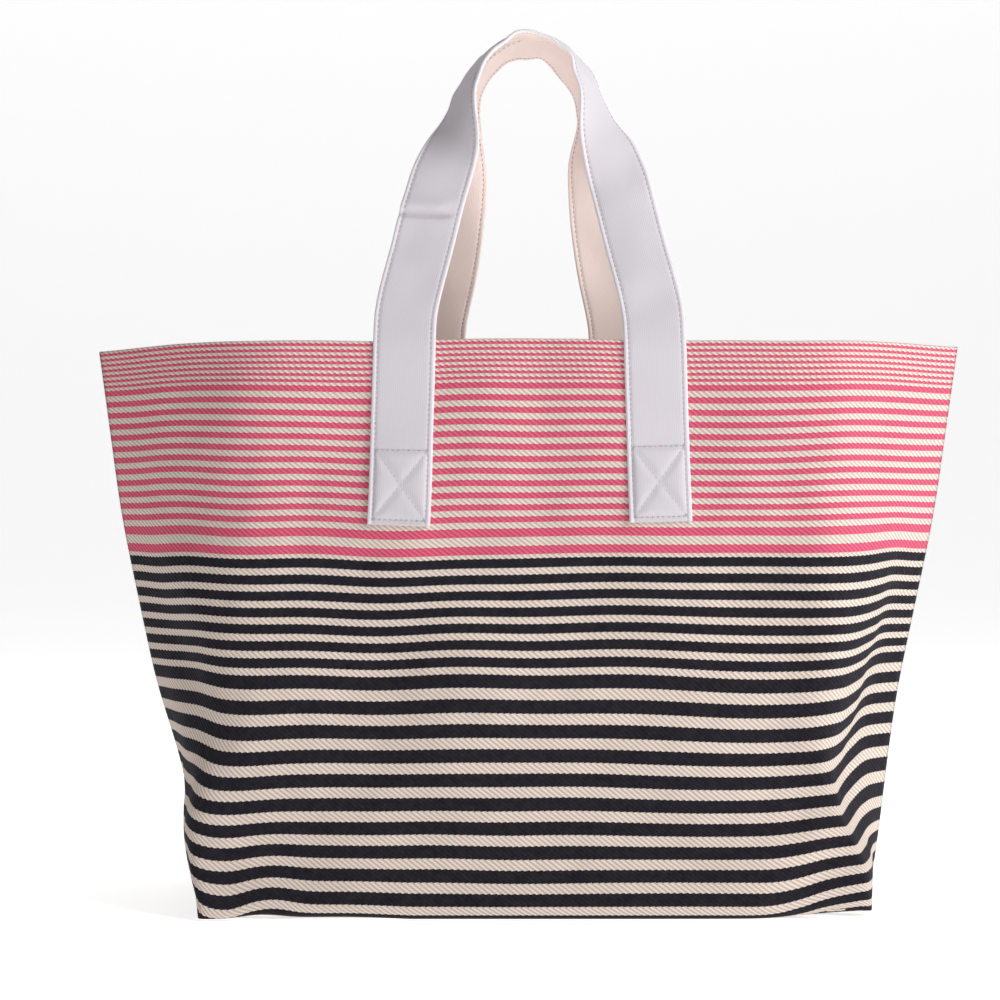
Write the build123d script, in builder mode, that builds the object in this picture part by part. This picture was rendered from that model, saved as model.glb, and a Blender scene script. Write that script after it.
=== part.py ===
"""Canvas tote bag: two striped outer panels, lining, rim facings, seam tapes, two stitched straps.

Frame: origin at the centre of the base, +X to the wearer's right, -Y to the front, +Z up, millimetres.
The wall is a stack of cloth layers. A layer is named by its depth into the wall, measured from the
outer face of the outer cloth, so a negative depth lies outside the bag.
"""
import math
import os

from build123d import *

# Driving dimensions of the bag
BAG_HEIGHT = 347.0
RIM_HALF_WIDTH = 272.0
BASE_HALF_WIDTH = 203.0
RIM_HALF_DEPTH = 60.0
BASE_HALF_DEPTH = 85.0
BASE_FLAT_HALF = 195.0
RIM_FLAT_HALF = 178.0
BASE_CORNER_RADIUS = 14.0
RIM_CORNER_RADIUS = 70.0
WIDTH_SWELL = 0.85
SECTION_COUNT = 5

# Depth of each cloth layer's outer and inner face into the wall
PANEL = (0.0, 1.4)
FACING = (1.7, 2.7)
TAPE = (1.7, 2.6)
PATCH = (1.7, 2.7)
LINING = (3.0, 3.5)
POCKET = (3.8, 4.4)
POCKET_HEM = (4.6, 5.2)
TAIL = (-2.9, -0.3)
THREAD = (-3.4, -3.0)

# Heights and widths of the pieces that are cut from those layers
FACING_HEIGHT = 32.0
LINING_OVERLAP = 10.0
TAPE_HALF_WIDTH = 8.0
TAPE_END_GAP = 2.0
CORNER_TAPE_WIDTH = 12.0
CORNER_TAPE_SETBACK = 6.0
POCKET_HALF_WIDTH = 95.0
POCKET_TOP = 300.0
POCKET_DEPTH = 150.0
POCKET_HEM_HEIGHT = 15.0
PATCH_MARGIN = 6.0
PATCH_HEIGHT = 50.0

# Straps: two legs that rise from the rim, draw together at the shoulders and meet in a round crown
STRAP_WIDTH = 38.0
STRAP_THICKNESS = 2.6
STRAP_STANCE = {"front": 76.0, "back": 60.0}
STRAP_RISE = 194.5
STRAP_CROWN_SETBACK = 20.0
SHANK_SLANT = 1.0
SHANK_RISE = 18.0
LEG = {"front": [(56.4, 100.0), (46.5, 132.0)], "back": [(48.0, 82.0), (43.5, 126.0)]}
ARCH = [(40.5, 154.0), (33.0, 177.0), (17.0, 194.0)]
TWIST_ANGLE = 70.0
TWIST_START = 0.19
TWIST_END = 0.36
LOOP_SECTIONS = 33
TAIL_LENGTH = 110.0
TAIL_RIM_GAP = 0.5
LOOP_RIM_GAP = 1.3
STITCH_INSET = 3.0
STITCH_WIDTH = 1.0
STITCH_HEIGHT = 0.4
STITCH_GAP = 0.15
BOX_HEIGHT = 43.0
BOX_RAISE = 3.0

# Larger than the whole bag, for the blocks that cut its layers
BIG = 700.0


def smooth(value, low, high):
    """Cubic step from 0 at low to 1 at high."""
    share = min(max((value - low) / (high - low), 0.0), 1.0)
    return share * share * (3.0 - 2.0 * share)


def section_sizes(height, depth):
    """Half width at the side seam, half width of the flat, half depth and corner radius of a layer."""
    rise = height / BAG_HEIGHT
    seam = BASE_HALF_WIDTH + (RIM_HALF_WIDTH - BASE_HALF_WIDTH) * rise**WIDTH_SWELL
    flat = BASE_FLAT_HALF + (RIM_FLAT_HALF - BASE_FLAT_HALF) * rise
    deep = BASE_HALF_DEPTH + (RIM_HALF_DEPTH - BASE_HALF_DEPTH) * rise
    radius = BASE_CORNER_RADIUS + (RIM_CORNER_RADIUS - BASE_CORNER_RADIUS) * rise
    slant = (seam - flat) / deep
    seam_moved = seam - depth * math.hypot(seam - flat, deep) / deep
    deep_moved = deep - depth
    return seam_moved, seam_moved - slant * deep_moved, deep_moved, radius - depth


def filled_bag(depth):
    """Solid inside one depth of the wall, standing on its own floor at the same depth."""
    with BuildPart() as filled:
        for index in range(SECTION_COUNT):
            height = BAG_HEIGHT * index / (SECTION_COUNT - 1)
            seam, flat, deep, radius = section_sizes(height, depth)
            with BuildSketch(Plane.XY.offset(height)) as section:
                front_edge = [(-seam, 0), (-flat, -deep), (flat, -deep)]
                back_edge = [(seam, 0), (flat, deep), (-flat, deep)]
                with BuildLine():
                    Polyline(front_edge + back_edge, close=True)
                make_face()
                corners = section.vertices().filter_by(lambda corner: abs(corner.Y) > 1.0)
                fillet(corners, radius)
        loft()
        if depth > 0:
            split(bisect_by=Plane.XY.offset(depth), keep=Keep.TOP)
    return filled.part


def cloth_layer(faces):
    """Hollow layer of cloth between two depths, open at the top and closed below."""
    outer, inner = faces
    with BuildPart() as layer:
        add(filled_bag(outer))
        add(filled_bag(inner), mode=Mode.SUBTRACT)
    return layer.part


panel_layer = cloth_layer(PANEL)
facing_layer = cloth_layer(FACING)
tape_layer = cloth_layer(TAPE)
patch_layer = cloth_layer(PATCH)
lining_layer = cloth_layer(LINING)
pocket_layer = cloth_layer(POCKET)
pocket_hem_layer = cloth_layer(POCKET_HEM)
tail_layer = cloth_layer(TAIL)
thread_layer = cloth_layer(THREAD)

os.makedirs("parts", exist_ok=True)


def finish(part, name):
    """Labels one finished piece and writes it."""
    part.label = name
    export_step(part, f"parts/{name}.step")


# Which way from the middle each side lies along Y, and each hand along X
SIDES = {"front": -1, "back": 1}
HANDS = {"left": -1, "right": 1}

for side, sign in SIDES.items():
    with BuildPart() as panel:
        add(panel_layer)
        with Locations((0, sign * BIG / 2, 0)):
            Box(BIG, BIG, 2 * BIG, mode=Mode.INTERSECT)
    finish(panel.part, f"{side}_panel")

    with BuildPart() as facing:
        add(facing_layer)
        with Locations((0, sign * BIG / 2, BAG_HEIGHT - FACING_HEIGHT)):
            Box(BIG, BIG, BIG, align=(Align.CENTER, Align.CENTER, Align.MIN), mode=Mode.INTERSECT)
    finish(facing.part, f"{side}_facing")

    with BuildPart() as lining:
        add(lining_layer)
        with Locations((0, sign * BIG / 2, BAG_HEIGHT - FACING_HEIGHT + LINING_OVERLAP)):
            Box(BIG, BIG, BIG, align=(Align.CENTER, Align.CENTER, Align.MAX), mode=Mode.INTERSECT)
    finish(lining.part, f"{side}_lining")

for hand, sign in HANDS.items():
    with BuildPart() as seam_tape:
        add(tape_layer)
        with Locations((sign * BIG / 2, 0, TAPE[1] + TAPE_END_GAP)):
            Box(
                BIG,
                2 * TAPE_HALF_WIDTH,
                BAG_HEIGHT - FACING_HEIGHT - TAPE[1] - 2 * TAPE_END_GAP,
                align=(Align.CENTER, Align.CENTER, Align.MIN),
                mode=Mode.INTERSECT,
            )
    finish(seam_tape.part, f"{hand}_seam_tape")

    with BuildPart() as corner_tape:
        with BuildSketch(Plane.XY.offset(TAPE[0])):
            with Locations((sign * (BASE_FLAT_HALF - CORNER_TAPE_SETBACK - CORNER_TAPE_WIDTH / 2), 0)):
                Rectangle(CORNER_TAPE_WIDTH, 2 * (BASE_HALF_DEPTH - CORNER_TAPE_SETBACK))
        extrude(amount=TAPE[1] - TAPE[0])
    finish(corner_tape.part, f"{hand}_corner_tape")

with BuildPart() as base_seam_tape:
    with BuildSketch(Plane.XY.offset(TAPE[0])):
        Rectangle(
            2 * (BASE_FLAT_HALF - CORNER_TAPE_SETBACK - CORNER_TAPE_WIDTH - TAPE_END_GAP),
            2 * TAPE_HALF_WIDTH,
        )
    extrude(amount=TAPE[1] - TAPE[0])
finish(base_seam_tape.part, "base_seam_tape")

with BuildPart() as slip_pocket:
    add(pocket_layer)
    with Locations((0, BIG / 2, POCKET_TOP)):
        Box(
            2 * POCKET_HALF_WIDTH,
            BIG,
            POCKET_DEPTH,
            align=(Align.CENTER, Align.CENTER, Align.MAX),
            mode=Mode.INTERSECT,
        )
finish(slip_pocket.part, "slip_pocket")

with BuildPart() as pocket_hem:
    add(pocket_hem_layer)
    with Locations((0, BIG / 2, POCKET_TOP)):
        Box(
            2 * POCKET_HALF_WIDTH,
            BIG,
            POCKET_HEM_HEIGHT,
            align=(Align.CENTER, Align.CENTER, Align.MAX),
            mode=Mode.INTERSECT,
        )
finish(pocket_hem.part, "pocket_hem")

# Strap ends: the tail outside the panel, its box and cross of stitching, and the patch behind it
box_half = STRAP_WIDTH / 2 - STITCH_INSET
box_low = BAG_HEIGHT - TAIL_LENGTH + BOX_RAISE
box_middle = box_low + BOX_HEIGHT / 2
cross_length = math.hypot(2 * box_half, BOX_HEIGHT)
cross_angle = math.degrees(math.atan2(BOX_HEIGHT, 2 * box_half))

for side, depth_sign in SIDES.items():
    for hand, hand_sign in HANDS.items():
        centre = hand_sign * STRAP_STANCE[side]

        with BuildPart() as tail:
            add(tail_layer)
            with Locations((centre, depth_sign * BIG / 2, BAG_HEIGHT - TAIL_RIM_GAP)):
                Box(
                    STRAP_WIDTH,
                    BIG,
                    TAIL_LENGTH,
                    align=(Align.CENTER, Align.CENTER, Align.MAX),
                    mode=Mode.INTERSECT,
                )
        finish(tail.part, f"{side}_{hand}_tail")

        with BuildPart() as patch:
            add(patch_layer)
            with Locations((centre, depth_sign * BIG / 2, box_middle)):
                Box(STRAP_WIDTH + 2 * PATCH_MARGIN, BIG, PATCH_HEIGHT, mode=Mode.INTERSECT)
        finish(patch.part, f"{side}_{hand}_patch")

        with BuildPart() as stitching:
            with BuildSketch(Plane.XZ.offset(-BIG / 2)):
                with Locations((centre, box_middle)):
                    Rectangle(2 * box_half + STITCH_WIDTH, BOX_HEIGHT + STITCH_WIDTH)
                    Rectangle(2 * box_half - STITCH_WIDTH, BOX_HEIGHT - STITCH_WIDTH, mode=Mode.SUBTRACT)
                    Rectangle(cross_length, STITCH_WIDTH, rotation=cross_angle)
                    Rectangle(cross_length, STITCH_WIDTH, rotation=-cross_angle)
            extrude(amount=BIG)
            add(thread_layer, mode=Mode.INTERSECT)
            with Locations((0, depth_sign * BIG / 2, 0)):
                Box(BIG, BIG, 2 * BIG, mode=Mode.INTERSECT)
        finish(stitching.part, f"{side}_{hand}_stitching")


# Straps: a flat band follows a route in a plane that leans on the other strap. It starts with its
# face to the front and turns until its width lies almost across the bag at the crown.
leg_depth = RIM_HALF_DEPTH - (TAIL[0] + TAIL[1]) / 2
lean = math.atan2(leg_depth - STRAP_CROWN_SETBACK, STRAP_RISE)
lean_plane = Plane(
    origin=(0, -leg_depth, BAG_HEIGHT),
    x_dir=(1, 0, 0),
    z_dir=(0, -math.cos(lean), math.sin(lean)),
)


def strap_route(side):
    """Middle line of a strap in the leaning plane, from one side of the rim over the crown to the other."""
    stance = STRAP_STANCE[side]
    half_route = [(stance, LOOP_RIM_GAP), (stance - SHANK_SLANT, SHANK_RISE), *LEG[side], *ARCH]
    with BuildLine(lean_plane) as route:
        crown = (0, STRAP_RISE / math.cos(lean))
        Spline([(-across, up) for across, up in half_route] + [crown] + half_route[::-1])
    return route.edges()[0]


def band_planes(route):
    """Planes across the band along its route: X runs across it and -Y is its outer face."""
    planes = []
    for index in range(LOOP_SECTIONS):
        share = index / (LOOP_SECTIONS - 1)
        tangent = route.tangent_at(share)
        inward = tangent.cross(lean_plane.z_dir)
        twist = math.radians(TWIST_ANGLE) * smooth(min(share, 1 - share), TWIST_START, TWIST_END)
        across = inward * math.cos(twist) + lean_plane.z_dir * math.sin(twist)
        planes.append(Plane(origin=route.position_at(share), x_dir=across, z_dir=tangent))
    return planes


for side in SIDES:
    planes = band_planes(strap_route(side))

    with BuildPart() as strap:
        for plane in planes:
            with BuildSketch(plane):
                Rectangle(STRAP_WIDTH, STRAP_THICKNESS)
        loft(ruled=True)
        if side == "back":
            mirror(about=Plane.XZ, mode=Mode.REPLACE)
    finish(strap.part, f"{side}_strap")

    with BuildPart() as strap_stitching:
        for row in (-1, 1):
            for plane in planes:
                with BuildSketch(plane):
                    across = row * (STRAP_WIDTH / 2 - STITCH_INSET)
                    with Locations((across, -(STRAP_THICKNESS + STITCH_HEIGHT) / 2 - STITCH_GAP)):
                        Rectangle(STITCH_WIDTH, STITCH_HEIGHT)
            loft(ruled=True)
        if side == "back":
            mirror(about=Plane.XZ, mode=Mode.REPLACE)
    finish(strap_stitching.part, f"{side}_strap_stitching")
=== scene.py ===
"""Canvas tote bag: striped twill panels, lining, pocket and two stitched cotton straps.

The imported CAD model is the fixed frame. Every piece here is cloth that replaces a plain CAD layer.
Metres throughout, +X to the right, -Y to the front, +Z up.
"""
import logging
import math
from dataclasses import dataclass, field
from enum import Enum

import bmesh
import bpy
import numpy as np
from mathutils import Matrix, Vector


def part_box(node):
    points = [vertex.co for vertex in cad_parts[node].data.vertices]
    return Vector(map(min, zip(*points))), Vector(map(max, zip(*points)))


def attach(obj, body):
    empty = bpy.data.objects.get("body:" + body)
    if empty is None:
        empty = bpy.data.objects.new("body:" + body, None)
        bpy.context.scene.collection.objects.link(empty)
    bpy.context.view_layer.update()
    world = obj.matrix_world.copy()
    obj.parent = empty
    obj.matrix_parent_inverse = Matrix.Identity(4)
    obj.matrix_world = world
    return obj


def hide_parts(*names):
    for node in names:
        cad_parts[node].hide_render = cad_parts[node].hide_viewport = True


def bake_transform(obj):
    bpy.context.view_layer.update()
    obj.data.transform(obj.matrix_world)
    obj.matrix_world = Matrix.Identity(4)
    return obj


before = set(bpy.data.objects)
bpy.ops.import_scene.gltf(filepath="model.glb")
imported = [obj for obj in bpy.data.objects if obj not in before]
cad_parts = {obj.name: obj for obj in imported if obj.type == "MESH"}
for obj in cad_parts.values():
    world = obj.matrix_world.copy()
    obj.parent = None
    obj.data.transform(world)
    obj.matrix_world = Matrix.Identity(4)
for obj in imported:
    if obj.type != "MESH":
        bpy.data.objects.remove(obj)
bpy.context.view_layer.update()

LOG = logging.getLogger("tote_bag")
MM = 0.001


class Side(Enum):
    """The two large faces of the bag, by the sign of their Y."""

    FRONT = -1
    BACK = 1

    @property
    def word(self) -> str:
        """The side's name as it stands in the names of pieces."""
        return self.name.lower()


class Hand(Enum):
    """Left and right as seen from the front, by the sign of their X."""

    LEFT = -1
    RIGHT = 1

    @property
    def word(self) -> str:
        """The hand's name as it stands in the names of pieces."""
        return self.name.lower()


# ---------------------------------------------------------------- arrays


def ease(value: np.ndarray, low: float, high: float) -> np.ndarray:
    """Cubic step: 3x^2 - 2x^3 of the share of the way from low to high.

    Args:
        value: Any array.
        low: Where the step leaves 0.
        high: Where the step reaches 1.

    Returns:
        An array of the same shape, from 0 to 1.
    """
    share = np.clip((np.asarray(value, float) - low) / (high - low), 0.0, 1.0)
    return share * share * (3.0 - 2.0 * share)


def hump(value: np.ndarray, centre: float, width: float) -> np.ndarray:
    """Bell curve: exp of minus the squared distance from the centre in widths."""
    return np.exp(-(((value - centre) / width) ** 2))


def unit(vectors: np.ndarray) -> np.ndarray:
    """The vectors divided by their lengths."""
    return vectors / np.maximum(np.linalg.norm(vectors, axis=-1, keepdims=True), 1e-12)


def soften(points: np.ndarray, spread: float, axis: int) -> np.ndarray:
    """Gaussian average along one axis; both ends stay put because the data is mirrored through them.

    Args:
        points: Grid of points.
        spread: Standard deviation in grid steps.
        axis: The axis to average along.

    Returns:
        The averaged grid.
    """
    if spread < 0.2:
        return points
    reach = int(math.ceil(3 * spread))
    steps = np.arange(-reach, reach + 1)
    weights = np.exp(-0.5 * (steps / spread) ** 2)
    weights /= weights.sum()
    line = np.moveaxis(points, axis, 0)
    before = 2 * line[:1] - line[1 : reach + 1][::-1]
    after = 2 * line[-1:] - line[-reach - 1 : -1][::-1]
    longer = np.concatenate([before, line, after])
    result = sum(weight * longer[k : k + len(line)] for k, weight in enumerate(weights))
    return np.moveaxis(result, 0, axis)


def soften_varied(points: np.ndarray, spread: np.ndarray, axis: int) -> np.ndarray:
    """Gaussian average whose spread varies over the grid: a mix of four fixed averages.

    Args:
        points: Grid of points, rows by columns by 3.
        spread: Wanted spread in grid steps, rows by columns.
        axis: The axis to average along.

    Returns:
        The averaged grid.
    """
    levels = [0.0, 1.0, 3.0, 9.0]
    versions = [soften(points, level, axis) for level in levels]
    result = np.zeros_like(points)
    for index, version in enumerate(versions):
        tent = np.interp(spread, levels, np.eye(len(levels))[index])
        result += version * tent[..., None]
    return result


def grid_faces(index: np.ndarray) -> np.ndarray:
    """Quads of a grid of vertex numbers, wound along the columns first."""
    return np.stack([index[:-1, :-1], index[:-1, 1:], index[1:, 1:], index[1:, :-1]], -1).reshape(-1, 4)


def read_grid(grid: np.ndarray, row: np.ndarray, column: np.ndarray) -> np.ndarray:
    """Reads a grid of vectors between its rows and columns in straight lines.

    Args:
        grid: Rows by columns by 3.
        row: Places along the rows, in grid steps.
        column: Places along the columns, in grid steps, of the same shape.

    Returns:
        One vector for each place.
    """
    c0 = np.minimum(column.astype(int), grid.shape[1] - 2)
    r0 = np.minimum(row.astype(int), grid.shape[0] - 2)
    fc, fr = (column - c0)[..., None], (row - r0)[..., None]
    low = grid[r0, c0] * (1 - fc) + grid[r0, c0 + 1] * fc
    high = grid[r0 + 1, c0] * (1 - fc) + grid[r0 + 1, c0 + 1] * fc
    return low * (1 - fr) + high * fr


def number_grid(rows: int, cols: int, first: int = 0) -> np.ndarray:
    """Vertex numbers of a grid, counted on from the first, row by row."""
    return first + np.arange(rows * cols).reshape(rows, cols)


def cloth_places(across: np.ndarray, along: np.ndarray) -> np.ndarray:
    """Places on the flat cloth of a grid's vertices, row by row."""
    return np.stack(np.meshgrid(across, along), -1).reshape(-1, 2)


def vertex_normals(points: np.ndarray, faces: np.ndarray) -> np.ndarray:
    """Normals of vertices: the sum of the cross products of the diagonals of their quads."""
    corner = points[faces]
    cross = np.cross(corner[:, 2] - corner[:, 0], corner[:, 3] - corner[:, 1])
    total = np.zeros_like(points)
    for k in range(4):
        np.add.at(total, faces[:, k], cross)
    return unit(total)


def close_layer(outer: np.ndarray, inner: np.ndarray, faces: np.ndarray) -> tuple[np.ndarray, np.ndarray]:
    """A closed shell between two copies of a sheet: its faces, the reversed copy, and a strip at each edge.

    Args:
        outer: Vertices of the side that the faces' normals point to.
        inner: The same vertices on the other side.
        faces: Quads of the sheet.

    Returns:
        Vertices and quads of the closed shell.
    """
    count = len(outer)
    edges = np.concatenate([faces[:, [k, (k + 1) % 4]] for k in range(4)])
    keys = np.sort(edges, axis=1)
    _, first, times = np.unique(keys, axis=0, return_index=True, return_counts=True)
    rim = edges[first[times == 1]]
    strip = np.stack([rim[:, 1], rim[:, 0], rim[:, 0] + count, rim[:, 1] + count], -1)
    return np.concatenate([outer, inner]), np.concatenate([faces, faces[:, ::-1] + count, strip])


@dataclass(frozen=True)
class Undulation:
    """Gentle unevenness of cloth: a sum of sine waves in random directions, seeded."""

    seed: int
    height: float
    shortest: float
    longest: float
    waves: int = 18

    def at(self, across: np.ndarray, along: np.ndarray) -> np.ndarray:
        """Height at places on the cloth: the waves' sum over their root count, each as high as it is long."""
        rng = np.random.default_rng(self.seed)
        lengths = np.exp(rng.uniform(math.log(self.shortest), math.log(self.longest), self.waves))
        turns = rng.uniform(0.0, math.pi, self.waves)
        phases = rng.uniform(0.0, 2 * math.pi, self.waves)
        total = np.zeros(np.broadcast(across, along).shape)
        for length, turn, phase in zip(lengths, turns, phases):
            way = across * math.cos(turn) + along * math.sin(turn)
            total += length / self.longest * np.sin(2 * math.pi * way / length + phase)
        return self.height * total / math.sqrt(self.waves)


# ---------------------------------------------------------------- meshes


def make_piece(
    name: str,
    points: np.ndarray,
    faces: np.ndarray,
    cloth: np.ndarray | None = None,
    mend: bool = True,
) -> bpy.types.Object:
    """Makes a mesh object from arrays.

    Args:
        name: Name of the piece.
        points: Vertices.
        faces: Quads as vertex numbers.
        cloth: Place of each vertex on the flat cloth, in metres, for the UV map.
        mend: Merges vertices that fall together.

    Returns:
        The object, linked to the scene, at the origin.
    """
    mesh = bpy.data.meshes.new(name)
    mesh.from_pydata(points.reshape(-1, 3).tolist(), [], faces.tolist())
    if cloth is not None:
        layer = mesh.uv_layers.new(name="cloth")
        corner = np.zeros(len(mesh.loops), np.int32)
        mesh.loops.foreach_get("vertex_index", corner)
        layer.data.foreach_set("uv", cloth.reshape(-1, 2)[corner].astype(np.float32).ravel())
    if mend:
        work = bmesh.new()
        work.from_mesh(mesh)
        bmesh.ops.remove_doubles(work, verts=work.verts, dist=2e-6)
        bmesh.ops.dissolve_degenerate(work, edges=work.edges, dist=2e-6)
        work.to_mesh(mesh)
        work.free()
    mesh.polygons.foreach_set("use_smooth", np.ones(len(mesh.polygons), bool))
    mesh.update()
    piece = bpy.data.objects.new(name, mesh)
    bpy.context.scene.collection.objects.link(piece)
    LOG.info("%s: %d faces", name, len(mesh.polygons))
    return piece


# ---------------------------------------------------------------- materials


class Shader:
    """A procedural material under construction: short calls that add and join nodes."""

    def __init__(self, name: str, roughness: float, sheen: float) -> None:
        """Starts a material.

        Args:
            name: Name of the material.
            roughness: Roughness of the surface.
            sheen: Weight of the soft fuzz at grazing angles.
        """
        self.material = bpy.data.materials.new(name)
        self.material.use_nodes = True
        self.tree = self.material.node_tree
        self.surface = self.tree.nodes["Principled BSDF"]
        self.surface.inputs["Roughness"].default_value = roughness
        self.surface.inputs["Sheen Weight"].default_value = sheen
        self.surface.inputs["Sheen Roughness"].default_value = 0.5
        self.surface.inputs["Specular IOR Level"].default_value = 0.08

    def _join(self, socket: bpy.types.NodeSocket, value: object) -> None:
        """Links a socket to another, or sets its value."""
        if isinstance(value, bpy.types.NodeSocket):
            self.tree.links.new(value, socket)
        else:
            socket.default_value = value

    def math(self, operation: str, *values: object) -> bpy.types.NodeSocket:
        """One Math node; the values are numbers or sockets."""
        node = self.tree.nodes.new("ShaderNodeMath")
        node.operation = operation
        for socket, value in zip(node.inputs, values):
            self._join(socket, value)
        return node.outputs[0]

    def mix(self, factor: object, first: object, second: object) -> bpy.types.NodeSocket:
        """Mixes two colours by a factor."""
        node = self.tree.nodes.new("ShaderNodeMix")
        node.data_type = "RGBA"
        self._join(node.inputs["Factor"], factor)
        self._join(node.inputs["A"], first)
        self._join(node.inputs["B"], second)
        return node.outputs["Result"]

    def shade(self, colour: object, factor: object) -> bpy.types.NodeSocket:
        """A colour scaled by a number, as a vector product."""
        node = self.tree.nodes.new("ShaderNodeVectorMath")
        node.operation = "SCALE"
        self._join(node.inputs[0], colour if isinstance(colour, bpy.types.NodeSocket) else colour[:3])
        self._join(node.inputs["Scale"], factor)
        return node.outputs[0]

    def cloth(self) -> tuple[bpy.types.NodeSocket, bpy.types.NodeSocket]:
        """Place on the flat cloth, in metres: across it, and along it."""
        source = self.tree.nodes.new("ShaderNodeUVMap")
        source.uv_map = "cloth"
        split = self.tree.nodes.new("ShaderNodeSeparateXYZ")
        self.tree.links.new(source.outputs[0], split.inputs[0])
        return split.outputs[0], split.outputs[1]

    def noise(self, scale: float, detail: float) -> bpy.types.NodeSocket:
        """Cloudy noise in object space, about 0.5 on average."""
        place = self.tree.nodes.new("ShaderNodeTexCoord")
        node = self.tree.nodes.new("ShaderNodeTexNoise")
        node.inputs["Scale"].default_value = scale
        node.inputs["Detail"].default_value = detail
        self.tree.links.new(place.outputs["Object"], node.inputs["Vector"])
        return node.outputs[0]

    def wave(self, distance: object, pitch: float) -> bpy.types.NodeSocket:
        """A rounded ridge every pitch: half of one plus the sine."""
        turn = self.math("MULTIPLY", distance, 2 * math.pi / pitch)
        return self.math("MULTIPLY_ADD", self.math("SINE", turn), 0.5, 0.5)

    def finish(self, colour: object, height: object, depth: float, strength: float) -> bpy.types.Material:
        """Joins colour and bump to the surface.

        Args:
            colour: The colour socket.
            height: The height socket, from 0 to 1.
            depth: Height of 1, in metres.
            strength: Strength of the bump.

        Returns:
            The material.
        """
        self._join(self.surface.inputs["Base Color"], colour)
        bump = self.tree.nodes.new("ShaderNodeBump")
        bump.inputs["Distance"].default_value = depth
        bump.inputs["Strength"].default_value = strength
        self._join(bump.inputs["Height"], height)
        self.tree.links.new(bump.outputs[0], self.surface.inputs["Normal"])
        return self.material


def tint(red: int, green: int, blue: int) -> tuple[float, float, float, float]:
    """A linear colour from its 0 to 255 display values."""
    values = [channel / 255 for channel in (red, green, blue)]
    linear = [v / 12.92 if v <= 0.04045 else ((v + 0.055) / 1.055) ** 2.4 for v in values]
    return (*linear, 1.0)


class Yarn(Enum):
    """Colours of the yarns, and one painted light colour for the straps' inner faces."""

    PINK = tint(236, 102, 132)
    NAVY = tint(20, 20, 34)
    CREAM = tint(240, 223, 211)
    WHITE = tint(236, 230, 236)
    # Painted light, not a yarn: warm bounce light and backlight on the straps' inner faces.
    BOUNCE_LIT_WHITE = tint(254, 238, 232)
    LINING = tint(232, 222, 206)
    TAPE = tint(226, 220, 208)
    THREAD = tint(190, 185, 192)


@dataclass(frozen=True)
class StripeGroup:
    """A run of equal stripes, measured down the cloth from the rim, in millimetres."""

    start: float
    count: int
    pitch: float
    width: float
    yarn: Yarn


STRIPES = (
    StripeGroup(-31.6, 16, 3.55, 1.8, Yarn.PINK),
    StripeGroup(25.2, 12, 7.32, 3.7, Yarn.PINK),
    StripeGroup(113.2, 2, 10.9, 5.4, Yarn.PINK),
    StripeGroup(132.0, 7, 10.05, 5.9, Yarn.NAVY),
    StripeGroup(202.3, 16, 14.35, 8.0, Yarn.NAVY),
)


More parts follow.
